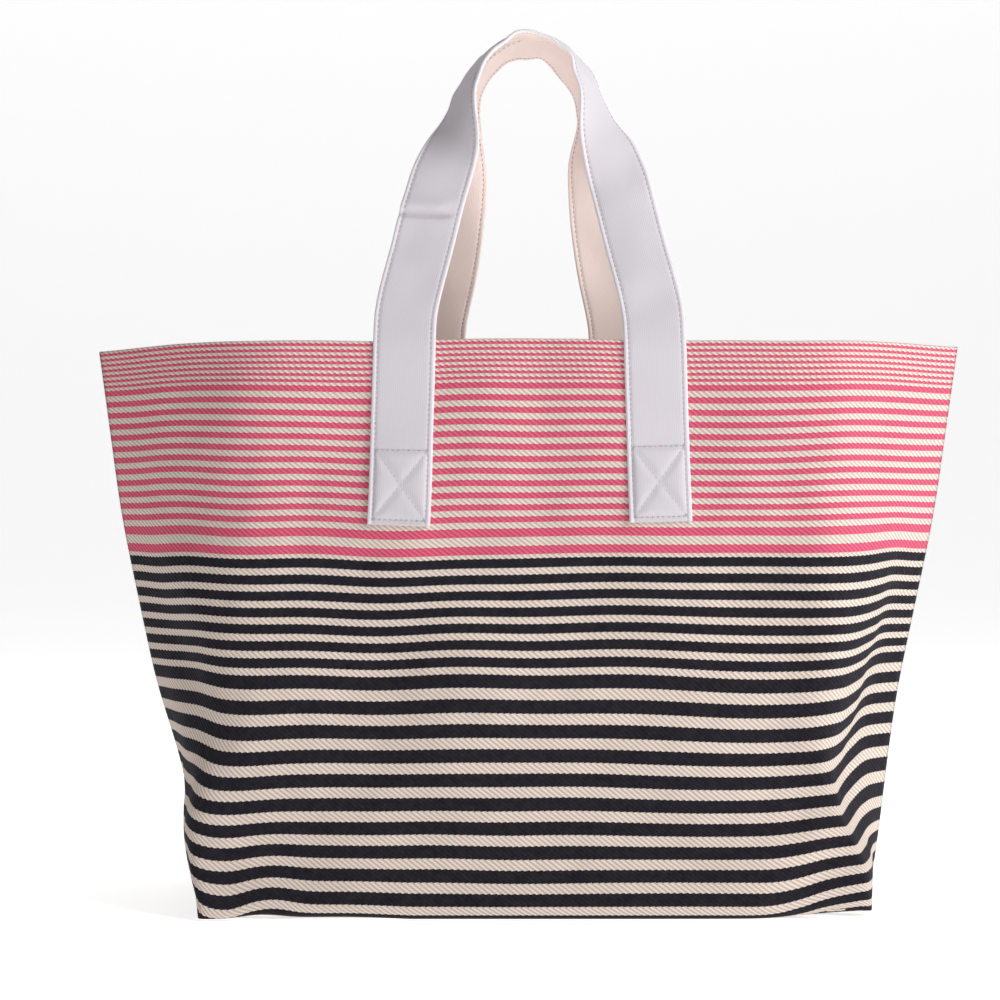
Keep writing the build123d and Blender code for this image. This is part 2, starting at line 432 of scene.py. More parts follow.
@dataclass(frozen=True)
class StripedTwill:
    """Heavy twill: stripes across the cloth, ridges running down to the right."""

    ridge_pitch: float = 3.8 * MM
    ridge_slope: float = 0.78
    serration: float = 0.55 * MM
    yarn_pitch: float = 0.9 * MM
    groove_light: float = 0.60
    ridge_light: float = 0.38
    strand_light: float = 0.10
    cloud_light: float = 0.10
    fleck_light: float = 0.10

    def build(self, name: str) -> bpy.types.Material:
        """Makes the material.

        A ridge's phase is (across - along / slope) / pitch. A stripe edge is moved by a saw tooth of that
        phase, so that it steps from ridge to ridge.

        Args:
            name: Name of the material.

        Returns:
            The material.
        """
        shader = Shader(name, 0.88, 0.05)
        across, along = shader.cloth()
        slid = shader.math("SUBTRACT", across, shader.math("DIVIDE", along, self.ridge_slope))
        phase = shader.math("DIVIDE", slid, self.ridge_pitch)
        tooth = shader.math("FRACT", phase)
        step = shader.math("MULTIPLY", shader.math("SUBTRACT", tooth, 0.5), self.serration)
        place = shader.math("ADD", along, step)
        masks = {Yarn.PINK: 0.0, Yarn.NAVY: 0.0}
        for group in STRIPES:
            masks[group.yarn] = shader.math("ADD", masks[group.yarn], self._stripes(shader, place, group))
        ridge = shader.wave(slid, self.ridge_pitch)
        crossing = shader.math("ADD", across, shader.math("MULTIPLY", along, 1.4))
        strand = shader.wave(crossing, self.yarn_pitch)
        cloudy = shader.noise(9.0, 3.0)
        fleck = shader.noise(260.0, 2.0)
        hatch = shader.math("SUBTRACT", across, shader.math("MULTIPLY", along, 1.1))
        hatch = shader.math("MULTIPLY", strand, shader.wave(hatch, 1.4 * self.yarn_pitch))
        ground = shader.mix(masks[Yarn.PINK], Yarn.CREAM.value, Yarn.PINK.value)
        ground = shader.mix(masks[Yarn.NAVY], ground, Yarn.NAVY.value)
        # Painted shade in the grooves between the twill ridges and painted highlight on their crests, on top
        # of the bump.
        light = shader.math("MULTIPLY_ADD", ridge, self.ridge_light, self.groove_light)
        for share, amount, least in ((strand, self.strand_light, 0.93), (cloudy, self.cloud_light, 0.95)):
            light = shader.math("MULTIPLY", light, shader.math("MULTIPLY_ADD", share, amount, least))
        speck = shader.math("MULTIPLY", shader.math("MULTIPLY", hatch, fleck), masks[Yarn.NAVY])
        speck = shader.math("MULTIPLY", speck, self.fleck_light)
        colour = shader.mix(speck, shader.shade(ground, light), Yarn.CREAM.value)
        height = shader.math("MULTIPLY_ADD", strand, 0.25, shader.math("MULTIPLY", ridge, 0.75))
        return shader.finish(colour, height, 0.5 * MM, 0.8)

    @staticmethod
    def _stripes(shader: Shader, place: bpy.types.NodeSocket, group: StripeGroup) -> bpy.types.NodeSocket:
        """1 inside the stripes of a group: a square wave cut to the group's length."""
        along = shader.math("SUBTRACT", place, group.start * MM)
        share = shader.math("FRACT", shader.math("DIVIDE", along, group.pitch * MM))
        stripe = shader.math("LESS_THAN", share, group.width / group.pitch)
        below = shader.math("GREATER_THAN", along, 0.0)
        above = shader.math("LESS_THAN", along, group.count * group.pitch * MM)
        return shader.math("MULTIPLY", stripe, shader.math("MULTIPLY", below, above))


@dataclass(frozen=True)
class RibbedCotton:
    """White strap cotton: fine ribs along the strap, with a painted highlight on the folded edges outside the
    stitching, so it looks greyer between them.
    """

    rib_pitch: float = 1.1 * MM
    pick_pitch: float = 0.8 * MM
    half_width: float = 19.0 * MM
    face_light: float = 0.64
    rib_light: float = 0.08
    cloud_light: float = 0.06
    painted_edge_highlight: float = 0.15
    edge_start: float = 0.88
    painted_bounce_light: float = 0.98

    def build(self, name: str) -> bpy.types.Material:
        """Makes the material: ribs are a sine across the strap, picks a finer sine along it.

        The inner face lies one metre aside on the flat cloth, which tells it apart; it is painted a warmer,
        lighter white for the bounce light and backlight that fall on it.

        Args:
            name: Name of the material.

        Returns:
            The material.
        """
        shader = Shader(name, 0.85, 0.2)
        place, along = shader.cloth()
        inner = shader.math("GREATER_THAN", place, 0.5)
        across = shader.math("SUBTRACT", place, inner)
        rib = shader.wave(across, self.rib_pitch)
        pick = shader.wave(along, self.pick_pitch)
        cloudy = shader.noise(30.0, 4.0)
        reach = shader.math("DIVIDE", shader.math("ABSOLUTE", across), self.half_width)
        # Painted highlight: the rounded folds outside the stitching rows are made lighter, as if catching the
        # light.
        edge = shader.math("GREATER_THAN", reach, self.edge_start)
        light = self.face_light
        for share, amount in ((rib, self.rib_light), (cloudy, self.cloud_light), (edge, self.painted_edge_highlight)):
            light = shader.math("MULTIPLY_ADD", share, amount, light)
        # Painted bounce light and backlight: the inner face is lifted to nearly full white and tinted warm.
        light = shader.math("MAXIMUM", light, shader.math("MULTIPLY", inner, self.painted_bounce_light))
        ground = shader.mix(inner, Yarn.WHITE.value, Yarn.BOUNCE_LIT_WHITE.value)
        height = shader.math("MULTIPLY_ADD", pick, 0.35, shader.math("MULTIPLY", rib, 0.65))
        return shader.finish(shader.shade(ground, light), height, 0.12 * MM, 0.5)


@dataclass(frozen=True)
class PlainWeave:
    """Plain cotton: over and under as the product of two sines."""

    yarn: Yarn
    pitch: float = 0.8 * MM

    def build(self, name: str) -> bpy.types.Material:
        """Makes the material."""
        shader = Shader(name, 0.9, 0.15)
        across, along = shader.cloth()
        weave = shader.math("MULTIPLY", shader.wave(across, self.pitch), shader.wave(along, self.pitch))
        cloudy = shader.noise(14.0, 4.0)
        light = shader.math("MULTIPLY_ADD", weave, 0.08, 0.86)
        light = shader.math("MULTIPLY_ADD", cloudy, 0.12, light)
        return shader.finish(shader.shade(self.yarn.value, light), weave, 0.1 * MM, 0.5)


@dataclass(frozen=True)
class SewingThread:
    """Twisted thread: fine slanted ridges in object space."""

    pitch: float = 0.5 * MM

    def build(self, name: str) -> bpy.types.Material:
        """Makes the material: ridges are a sine of the sum of the three coordinates."""
        shader = Shader(name, 0.6, 0.1)
        place = shader.tree.nodes.new("ShaderNodeTexCoord")
        split = shader.tree.nodes.new("ShaderNodeSeparateXYZ")
        shader.tree.links.new(place.outputs["Object"], split.inputs[0])
        total = shader.math("ADD", shader.math("ADD", split.outputs[0], split.outputs[1]), split.outputs[2])
        twist = shader.wave(total, self.pitch)
        light = shader.math("MULTIPLY_ADD", twist, 0.12, 0.86)
        return shader.finish(shader.shade(Yarn.THREAD.value, light), twist, 0.1 * MM, 0.6)


class Wardrobe:
    """All the finishes, made once and put on pieces by the name of a material slot."""

    def __init__(self) -> None:
        """Builds every finish."""
        self.finishes = {
            "striped_twill": StripedTwill().build("striped_twill"),
            "strap_cotton": RibbedCotton().build("strap_cotton"),
            "lining_cotton": PlainWeave(Yarn.LINING).build("lining_cotton"),
            "cotton_tape": PlainWeave(Yarn.TAPE, 1.2 * MM).build("cotton_tape"),
            "thread": SewingThread().build("thread"),
        }

    def dress(self, piece: bpy.types.Object, slot: str) -> None:
        """Gives a piece the finish of a slot."""
        piece.data.materials.clear()
        piece.data.materials.append(self.finishes[slot])


# ---------------------------------------------------------------- the bag's cloth


@dataclass(frozen=True)
class CornerForm:
    """How one edge of a panel stands, from the base (z = 0) to the rim.

    The flat face ends at the fold, the side face runs on to the seam; both lines are given as pairs of a
    height and a distance from the middle. The cheek is how far the side face is drawn in between them,
    the lift is how far the foot of the seam stands off the ground, the sweep draws the foot of the fold
    back from the front, and the droop lowers the tip of the rim.
    """

    fold: tuple[tuple[float, float], ...]
    seam: tuple[tuple[float, float], ...]
    round_base: float
    round_rim: float
    cheek: float
    lift: float
    sweep: float
    droop: float

    def line(self, name: str, height: np.ndarray) -> np.ndarray:
        """The fold or the seam as its distance from the middle at each height, with softened bends."""
        heights, reach = np.array(getattr(self, name)).T
        return soften(np.interp(height, heights, reach), 5.0, 0)


@dataclass(frozen=True)
class WallForm:
    """How a wall stands out or falls in besides its corners; a zone is where a step starts and ends."""

    flare: float = 4 * MM
    flare_height: float = 25 * MM
    cheek_place: float = 0.68
    cheek_width: float = 0.27
    cheek_fade: float = 0.22
    cheek_least: float = 0.12
    cheek_level: float = 128 * MM
    cheek_height: float = 62 * MM
    swell: float = 4 * MM
    crease: float = 4.5 * MM
    crease_place: float = 2 * MM
    crease_width: float = 11 * MM
    crease_zone: tuple[float, float] = (160 * MM, 250 * MM)
    sweep_zone: tuple[float, float] = (130 * MM, 200 * MM)
    sweep_height: float = 60 * MM
    droop_zone: tuple[float, float] = (200 * MM, 272 * MM)
    lift_height: float = 38 * MM
    rounding_zone: tuple[float, float] = (30 * MM, 130 * MM)
    foot_wave: float = 2.4 * MM
    foot_dip: float = 3.5 * MM
    foot_lift: float = 1.5 * MM


@dataclass(frozen=True)
class Slide:
    """Cloth slid up at a corner: how far, between which places across, and the height at which it fades."""

    amount: float
    start: float
    end: float
    fade: float

    def at(self, reach: np.ndarray, away: np.ndarray) -> np.ndarray:
        """The slide at a distance from the middle and a distance from the foot: a step by an exponential."""
        return self.amount * ease(reach, self.start, self.end) * np.exp(-away / self.fade)


@dataclass(frozen=True)
class BagSizes:
    """Sizes of the bag, taken from the frame."""

    height: float
    rim_half: float
    rim_depth: float
    base_depth: float
    cloth_half: float = 282 * MM
    base_flat: float = 195 * MM

    @classmethod
    def from_frame(cls) -> "BagSizes":
        """Reads the outer sizes from the front panel and the facing of the frame."""
        low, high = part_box("front_panel")
        facing_low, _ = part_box("front_facing")
        return cls(high.z, high.x, -facing_low.y, -low.y)

    @property
    def wall(self) -> float:
        """Length of the cloth up the wall."""
        return math.hypot(self.height, self.base_depth - self.rim_depth)


@dataclass(frozen=True)
class Settling:
    """A cloth simulation of one wall: a coarse copy, held at its edges, sags and buckles under its weight."""

    stride: int = 3
    frames: int = 24
    spare: float = 0.006
    limit: float = 4.5 * MM

    def shift(self, wall: np.ndarray) -> np.ndarray:
        """Runs the simulation and spreads its movement over the fine grid.

        The coarse grid takes every third row and column. Its movement is read between them in straight
        lines, averaged, and limited by the hyperbolic tangent.

        Args:
            wall: The wall's points, rows by columns by 3.

        Returns:
            The movement of each point.
        """
        rows = np.unique(np.append(np.arange(0, wall.shape[0], self.stride), wall.shape[0] - 1))
        cols = np.unique(np.append(np.arange(0, wall.shape[1], self.stride), wall.shape[1] - 1))
        coarse = wall[np.ix_(rows, cols)]
        moved = self._simulate(coarse) - coarse
        row = np.interp(np.arange(wall.shape[0]), rows, np.arange(len(rows)))
        column = np.interp(np.arange(wall.shape[1]), cols, np.arange(len(cols)))
        fine = read_grid(moved, *np.meshgrid(row, column, indexing="ij"))
        fine = soften(soften(fine, 2.0, 0), 2.0, 1)
        size = np.linalg.norm(fine, axis=-1, keepdims=True)
        LOG.info("settling: moved up to %.1f mm before the limit", size.max() / MM)
        across = np.minimum(np.arange(wall.shape[1]), np.arange(wall.shape[1])[::-1])
        up = np.minimum(np.arange(wall.shape[0]), np.arange(wall.shape[0])[::-1])
        hold = ease(across, 0, 14)[None, :, None] * ease(up, 0, 9)[:, None, None]
        return hold * fine / np.maximum(size, 1e-9) * self.limit * np.tanh(size / self.limit)

    def _simulate(self, coarse: np.ndarray) -> np.ndarray:
        """Positions of the coarse grid after the last frame; all its edges are pinned."""
        shape = coarse.shape
        index = number_grid(*shape[:2])
        mesh = bpy.data.meshes.new("settling")
        mesh.from_pydata(coarse.reshape(-1, 3).tolist(), [], grid_faces(index).tolist())
        sheet = bpy.data.objects.new("settling", mesh)
        scene = bpy.context.scene
        scene.collection.objects.link(sheet)
        edge = np.concatenate([index[0], index[-1], index[:, 0], index[:, -1]])
        sheet.vertex_groups.new(name="held").add(np.unique(edge).tolist(), 1.0, "REPLACE")
        cloth = sheet.modifiers.new("settling", "CLOTH")
        cloth.settings.vertex_group_mass = "held"
        cloth.settings.quality = 6
        cloth.settings.mass = 0.12
        cloth.settings.bending_stiffness = 6.0
        cloth.settings.tension_stiffness = 30.0
        cloth.settings.compression_stiffness = 30.0
        cloth.settings.shrink_min = -self.spare
        cloth.collision_settings.use_collision = False
        cloth.point_cache.frame_start = 1
        cloth.point_cache.frame_end = self.frames
        for frame_number in range(1, self.frames + 1):
            scene.frame_set(frame_number)
        settled = sheet.evaluated_get(bpy.context.evaluated_depsgraph_get()).to_mesh()
        flat = np.zeros(shape[0] * shape[1] * 3, np.float32)
        settled.vertices.foreach_get("co", flat)
        scene.frame_set(1)
        bpy.data.objects.remove(sheet)
        bpy.data.meshes.remove(mesh)
        return flat.reshape(shape).astype(float)


class Panel:
    """One outer panel: a wall with both side faces, and half of the base, as one sheet of cloth."""

    def __init__(self, side: Side, sizes: BagSizes, left: CornerForm, right: CornerForm, seed: int) -> None:
        """Works out the sheet.

        Args:
            side: Front or back.
            sizes: Sizes of the bag.
            left: Form of the edge at -X.
            right: Form of the edge at +X.
            seed: Seed of the cloth's unevenness.
        """
        self.side = side
        self.sizes = sizes
        self.forms = (left, right)
        self.seed = seed
        self.side_steps = 25
        self.face_steps = 112
        self.wall_steps = 100
        fold, seam = sizes.base_flat, sizes.cloth_half
        self.across = np.concatenate(
            [
                np.linspace(-seam, -fold, self.side_steps + 1),
                np.linspace(-fold, fold, self.face_steps + 1)[1:],
                np.linspace(fold, seam, self.side_steps + 1)[1:],
            ]
        )
        self.up = np.linspace(0.0, sizes.wall, self.wall_steps + 1)
        wall = self._wall()
        base, wall = self._base(wall)
        wall = wall + self._unevenness(wall)
        wall = wall + Settling().shift(wall)
        self._number(wall, base)

    def _by_hand(self, name: str) -> np.ndarray:
        """A field of the two corner forms, spread over the columns: left for -X, right for +X."""
        share = ease(self.across, -20 * MM, 20 * MM)
        return (1 - share) * getattr(self.forms[0], name) + share * getattr(self.forms[1], name)

    def _lines(self, name: str, height: np.ndarray) -> np.ndarray:
        """The folds or the seams of both hands as a grid, rows upwards by columns."""
        share = ease(self.across, -20 * MM, 20 * MM)[None, :]
        left, right = (form.line(name, height)[:, None] for form in self.forms)
        return left * (1 - share) + right * share

    def _wall(self) -> np.ndarray:
        """The wall as a grid of points, rows upwards by columns from left to right.

        At each height the outline is two straight side faces and a straight front, laid off along the
        cloth, drawn in at the cheeks and then averaged along the row, which rounds the folds.
        """
        sizes, form = self.sizes, WallForm()
        rise = (self.up / sizes.wall)[:, None]
        height = rise * sizes.height
        hand = np.sign(self.across)
        fold = self._lines("fold", height[:, 0])
        seam = self._lines("seam", height[:, 0])
        deep = sizes.base_depth + (sizes.rim_depth - sizes.base_depth) * rise
        deep = deep + form.flare * np.exp(-height / form.flare_height)
        reach = np.abs(self.across)
        share = np.clip((reach - fold) / (sizes.cloth_half - fold), 0.0, 1.0)
        length = np.hypot(seam - fold, deep)
        level = hump(height, form.cheek_level, form.cheek_height)
        drawn = self._by_hand("cheek") * hump(share, form.cheek_place, form.cheek_width)
        drawn = drawn * ease(1 - share, 0.0, form.cheek_fade)
        drawn = drawn * (form.cheek_least + (1 - form.cheek_least) * level)
        x = np.where(reach < fold, reach, fold + share * (seam - fold)) - drawn * deep / length
        y = -deep * (1 - share) + drawn * (seam - fold) / length
        swell = form.swell * np.clip(1 - (reach / fold) ** 2, 0, 1) * np.sin(math.pi * rise) ** 1.2
        crease = hump(self.across, form.crease_place, form.crease_width) * ease(height, *form.crease_zone)
        swell = swell - form.crease * crease
        swept = ease(reach, *form.sweep_zone) * (1 - share) * np.exp(-height / form.sweep_height)
        swell = swell - self._by_hand("sweep") * swept
        z = height - self._by_hand("droop") * rise**6 * ease(reach, *form.droop_zone)
        lifted = np.sin(0.5 * math.pi * share) ** 1.5 * np.exp(-height / form.lift_height)
        z = z + self._by_hand("lift") * lifted
        points = np.stack(np.broadcast_arrays(hand * x, y - swell, z), -1)
        step = self.across[1] - self.across[0]
        opened = ease(height, *form.rounding_zone)
        spread = (self._by_hand("round_base") * (1 - opened) + self._by_hand("round_rim") * opened) / step
        return soften_varied(points, np.broadcast_to(spread, points.shape[:2]), 1)

    def _base(self, wall: np.ndarray) -> tuple[np.ndarray, np.ndarray]:
        """Half of the base, from the base seam to the foot of the wall, and the wall with a rolled foot.

        Straight lines run from the seam to the foot. Base and wall are then averaged together along the
        columns, which rolls the fold between them, and the base's ends are pulled to the side faces.
        """
        count, form = self.side_steps, WallForm()
        face = slice(count, count + self.face_steps + 1)
        foot = wall[0, face]
        share = np.linspace(0.0, 1.0, count + 1)[:, None, None]
        seam_line = foot * np.array([1.0, 0.0, 1.0])
        base = seam_line * (1 - share) + foot * share
        column = np.concatenate([base[:-1], wall[:, face]])
        reach = np.abs(self.across[face])
        near = ease(reach, 0.195, 0.165)[None, :, None]
        soft = ease(self.across[face], 0.13, 0.175)[None, :, None]
        tight = soften(column, 1.7, 0) * near + soften(column, 1.0, 0) * (1 - near)
        rolled = tight * (1 - soft) + soften(column, 3.0, 0) * soft
        wave = Undulation(self.seed + 3, form.foot_wave, shortest=45 * MM, longest=160 * MM, waves=9)
        wave = np.maximum(wave.at(self.across[face], 0.0), -1 * MM)
        dip = form.foot_dip * hump(self.across[face], -162 * MM, 18 * MM) + wave
        height = np.concatenate([np.zeros(count), self.up])
        shown = np.concatenate([np.linspace(0, 1, count), np.ones(len(self.up))]) ** 4
        fade = hump(height, 0.0, 40 * MM) * shown
        lift = 0.8 * np.maximum(dip, 0.0) * near[0, :, 0]
        lift = lift + form.foot_lift * ease(self.across[face], 145 * MM, 195 * MM)
        rolled[..., 2] += lift[None, :] * fade[:, None]
        base, moved = rolled[: count + 1], rolled[count:]
        wall = wall.copy()
        for edge, cells in ((0, slice(0, count)), (-1, slice(count + self.face_steps + 1, None))):
            shift = (moved[:, edge] - wall[:, face][:, edge])[:, None]
            ramp = np.linspace(0, 1, count + 1) ** 3
            near_fold = ramp[:0:-1] if edge else ramp[:-1]
            wall[:, cells] += shift * near_fold[None, :, None]
        wall[:, face] = moved
        base = base.copy()
        left = wall[0, : count + 1]
        right = wall[0, -count - 1 :][::-1]
        fade = np.exp(-np.arange(self.face_steps + 1) / 8.0)[None, :, None]
        base += (left - base[:, 0])[:, None] * fade
        base += (right - base[:, -1])[:, None] * fade[:, ::-1]
        base[..., 2] = np.maximum(base[..., 2], 0.0)
        return base, wall

    def _unevenness(self, wall: np.ndarray) -> np.ndarray:
        """Small hills and hollows along the wall's normal, none at the seams or at the foot."""
        across, up = np.meshgrid(self.across, self.up)
        broad = Undulation(self.seed, height=4 * MM, shortest=60 * MM, longest=230 * MM).at(across, up)
        fine = Undulation(self.seed + 1, height=0.5 * MM, shortest=18 * MM, longest=50 * MM).at(across, up)
        hold = ease(self.sizes.cloth_half - np.abs(across), 0.0, 45 * MM) * ease(up, 0.0, 40 * MM)
        hold = hold * (1 - 0.55 * ease(up, self.sizes.wall - 60 * MM, self.sizes.wall))
        rows, cols = np.gradient(wall, axis=0), np.gradient(wall, axis=1)
        normal = unit(np.cross(cols, rows))
        sag = Undulation(self.seed + 2, height=2.2 * MM, shortest=80 * MM, longest=260 * MM)
        sag = sag.at(across, up) * hold
        return normal * ((broad + fine) * hold)[..., None] + sag[..., None] * np.array([0.0, 0.0, 1.0])

    def _number(self, wall: np.ndarray, base: np.ndarray) -> None:
        """Numbers the vertices so that base and wall share those of the foot, and keeps the arrays."""
        count = self.side_steps
        rows, cols = wall.shape[:2]
        self.wall_index = number_grid(rows, cols)
        base_index = np.zeros(base.shape[:2], int)
        inner = base[:-1, 1:-1]
        base_index[:-1, 1:-1] = number_grid(*inner.shape[:2], rows * cols)
        base_index[-1] = self.wall_index[0, count : count + self.face_steps + 1]
        base_index[:, 0] = self.wall_index[0, : count + 1]
        base_index[:, -1] = self.wall_index[0, -count - 1 :][::-1]
        self.base_index = base_index
        self.points = np.concatenate([wall.reshape(-1, 3), inner.reshape(-1, 3)])
        self.points[:, 2] = np.maximum(self.points[:, 2], 0.0)
        down = self.sizes.wall - self.up
        under = np.linspace(self.sizes.wall + self.sizes.base_depth, self.sizes.wall, count + 1)[:-1]
        places = [(self.across, down), (self.across[count + 1 : count + self.face_steps], under)]
        self.cloth = np.concatenate([cloth_places(across, along) for across, along in places])
        self.cloth[:, 1] += self._slide(self.cloth[:, 0], np.abs(self.cloth[:, 1] - self.sizes.wall))
        self.sheet_faces = np.concatenate([grid_faces(self.base_index), grid_faces(self.wall_index)])
        self.normals = vertex_normals(self.points, self.sheet_faces)
        self._mitre()

    def _slide(self, across: np.ndarray, away: np.ndarray) -> np.ndarray:
        """How far the cloth has slid up round the foot, by the distance from the foot.

        It slides most at the corners, and a little to and fro beside the left one. On the right side face
        it stays slid up to half of the height.
        """
        right = Slide(amount=19 * MM, start=138 * MM, end=216 * MM, fade=52 * MM).at(across, away)
        left = Slide(amount=16 * MM, start=188 * MM, end=222 * MM, fade=60 * MM).at(-across, away)
        cheek = 15 * MM * ease(across, 194 * MM, 264 * MM) * ease(away, 20 * MM, 120 * MM)
        cheek = cheek * np.exp(-((away / (180 * MM)) ** 4))
        pull = 3.2 * MM * hump(across, -0.150, 14 * MM) - 2.4 * MM * hump(across, -0.180, 11 * MM)
        return right + left + cheek + pull * np.exp(-away / (32 * MM))

    def _mitre(self) -> None:
        """Direction in which the layers step inwards at the seams: level, along X."""
        grid = self.points[self.wall_index]
        self.mitre = {}
        for name, edge, near in (("left", 0, 2), ("right", -1, -3)):
            way = unit(grid[:, near] - grid[:, edge])
            self.mitre[name] = 1.0 / np.maximum(np.abs(way[:, 1]), 0.33)

    def layer(self, depth: float) -> np.ndarray:
        """The whole sheet moved inwards by a depth, kept on its own side of the seams.

        Args:
            depth: How far inwards, in metres.

        Returns:
            Points, numbered as the sheet's own.
        """
        moved = self.points - self.normals * depth
        grid = moved[self.wall_index]
        outer = self.points[self.wall_index]
        for name, edge in (("left", 0), ("right", -1)):
            inward = -np.sign(outer[:, edge, 0]) * depth * self.mitre[name]
            grid[:, edge] = outer[:, edge] + np.stack([inward, 0 * inward, 0 * inward], -1)
        crossed = grid[..., 1] > 0
        left = np.broadcast_to(grid[:, :1], grid.shape)
        right = np.broadcast_to(grid[:, -1:], grid.shape)
        target = np.where(grid[..., :1] < 0, left, right)
        grid = np.where(crossed[..., None], target, grid)
        moved[self.wall_index] = grid
        return moved

    def face_side(self, points: np.ndarray) -> np.ndarray:
        """The points on the panel's own side: worked out for the front, mirrored for the back."""
        return points if self.side is Side.FRONT else points * np.array([1.0, -1.0, 1.0])

    def turn(self, faces: np.ndarray) -> np.ndarray:
        """Faces wound to suit the side."""
        return faces if self.side is Side.FRONT else faces[:, ::-1]

    def sample(self, across: np.ndarray, up: np.ndarray, depth: object = 0.0) -> np.ndarray:
        """Points of the wall at places on the cloth, moved inwards by a depth.

        The grid is read between its rows and columns in straight lines.

        Args:
            across: Places across the cloth.
            up: Places up the wall.
            depth: Depth inwards, a number or an array.

        Returns:
            Points, on the panel's own side.
        """
        points, normals = self._read(self.points, across, up), self._read(self.normals, across, up)
        moved = points - unit(normals) * np.asarray(depth)[..., None]
        moved[..., 1] = np.minimum(moved[..., 1], -0.2 * MM)
        return self.face_side(moved)

    def _read(self, values: np.ndarray, across: np.ndarray, up: np.ndarray) -> np.ndarray:
        """Reads a vertex array of the wall at places on the cloth."""
        row = np.interp(up, self.up, np.arange(len(self.up)))
        column = np.interp(across, self.across, np.arange(len(self.across)))
        return read_grid(values[self.wall_index], *np.broadcast_arrays(row, column))


@dataclass
class BagCloth:
    """Makes the pieces that are cut from the panels: outer cloth, facings, linings, tapes and pocket."""

    wardrobe: Wardrobe
    sizes: BagSizes
    twill: float = 1.3 * MM
    fold_radius: float = 1.45 * MM
    facing_height: float = 32 * MM
    lining_top: float = 24 * MM
    pocket_half: float = 95 * MM
    pocket_top: float = 300 * MM
    pocket_height: float = 150 * MM
    pocket_hem: float = 15 * MM
    tape_depths: tuple[float, float] = (2.4 * MM, 1.6 * MM)
    panels: dict[Side, Panel] = field(default_factory=dict)

    def build(self) -> None:
        """Makes both sides and what joins them."""
        for side in Side:
            self.outer_cloth(self.panels[side])
            self.facing(self.panels[side])
            self.lining(self.panels[side])
            for hand in Hand:
                self.patch(self.panels[side], hand)
        for hand in Hand:
            self.seam_tape(hand)
            self._floor_strip(f"{hand.word}_corner_allowance", f"{hand.word}_corner_tape")
        self._floor_strip("base_seam_allowance", "base_seam_tape")
        self.pocket()

    def _place(
        self,
        piece: bpy.types.Object,
        slot: str,
        node: str,
    ) -> None:
        """Dresses a piece, lets it ride on the bag and hides the CAD node that it stands for.

        Args:
            piece: The piece.
            slot: Its material slot.
            node: The CAD node that it stands for.
        """
        self.wardrobe.dress(piece, slot)
        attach(piece, "bag")
        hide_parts(node)

    @staticmethod
    def _shell(
        name: str, panel: Panel, outer: np.ndarray, inner: np.ndarray, faces: np.ndarray, cloth: np.ndarray
    ) -> bpy.types.Object:
        """A closed layer of cloth on the panel's side.

        Args:
            name: Name of the piece.
            panel: The panel that it belongs to.
            outer: Vertices of the side that the faces' normals point to.
            inner: The same vertices on the other side.
            faces: Quads of one side.
            cloth: Places on the flat cloth of one side's vertices.

        Returns:
            The piece.
        """
        points, faces = close_layer(outer, inner, panel.turn(faces))
        return make_piece(name, points, faces, np.concatenate([cloth, cloth]))

    def outer_cloth(self, panel: Panel) -> None:
        """The outer cloth: the sheet, run on over the rim in a half circle and a little way down inside."""
        outer, inner = panel.layer(0.0), panel.layer(self.twill)
        top = panel.wall_index[-1]
        edge, normal = outer[top], unit(panel.normals[top])
        upward = unit(outer[top] - outer[panel.wall_index[-4]])
        centre = edge - normal * self.fold_radius
        turns = np.radians(np.arange(22.5, 181.0, 22.5))
        count = len(outer)
        rows, inner_rows, cloth_rows, index = [], [], [], [top]
        for step, angle in enumerate(turns):
            spoke = normal * math.cos(angle) + upward * math.sin(angle)
            rows.append(centre + spoke * self.fold_radius)
            inner_rows.append(centre + spoke * (self.fold_radius - self.twill))
            cloth_rows.append(np.stack([panel.across, np.full(len(top), -angle * self.fold_radius)], -1))
            index.append(count + step * len(top) + np.arange(len(top)))
        down = 3 * MM
        rows.append(rows[-1] - upward * down)
        inner_rows.append(inner_rows[-1] - upward * down)
        cloth_rows.append(cloth_rows[-1] - np.array([0.0, down]))
        index.append(count + len(turns) * len(top) + np.arange(len(top)))
        outer = np.concatenate([outer, *rows])
        inner = np.concatenate([inner, *inner_rows])
        for layer in (outer, inner):
            layer[:, 1] = np.minimum(layer[:, 1], 0.0)
        cloth = np.concatenate([panel.cloth, *cloth_rows])
        faces = np.concatenate([panel.sheet_faces, grid_faces(np.array(index))])
        word = panel.side.word
        outer, inner = panel.face_side(outer), panel.face_side(inner)
        piece = self._shell(f"{word}_panel_cloth", panel, outer, inner, faces, cloth)
        self._place(piece, "striped_twill", f"{word}_panel")

    def _strip(
        self,
        name: str,
        panel: Panel,
        across: np.ndarray,
        up: np.ndarray,
        depths: tuple[object, object],
        fold_down: bool = False,
    ) -> bpy.types.Object:
        """A piece of cloth that lies along the wall: a grid of places on it, between two depths.

        Args:
            name: Name of the piece.
            panel: The panel that it lies along.
            across: Places across the cloth.
            up: Places up the wall.
            depths: Depth of the side towards the inside of the bag, then of the side towards the panel.
            fold_down: Measures the cloth downwards from the rim as on the panel's own cloth.

        Returns:
            The piece.
        """
        grid_across, grid_up = np.meshgrid(across, up)
        inside = panel.sample(grid_across, grid_up, depths[0]).reshape(-1, 3)
        outside = panel.sample(grid_across, grid_up, depths[1]).reshape(-1, 3)
        faces = grid_faces(number_grid(*grid_across.shape))[:, ::-1]
        cloth = cloth_places(across, up - self.sizes.wall if fold_down else up)
        return self._shell(name, panel, inside, outside, faces, cloth)

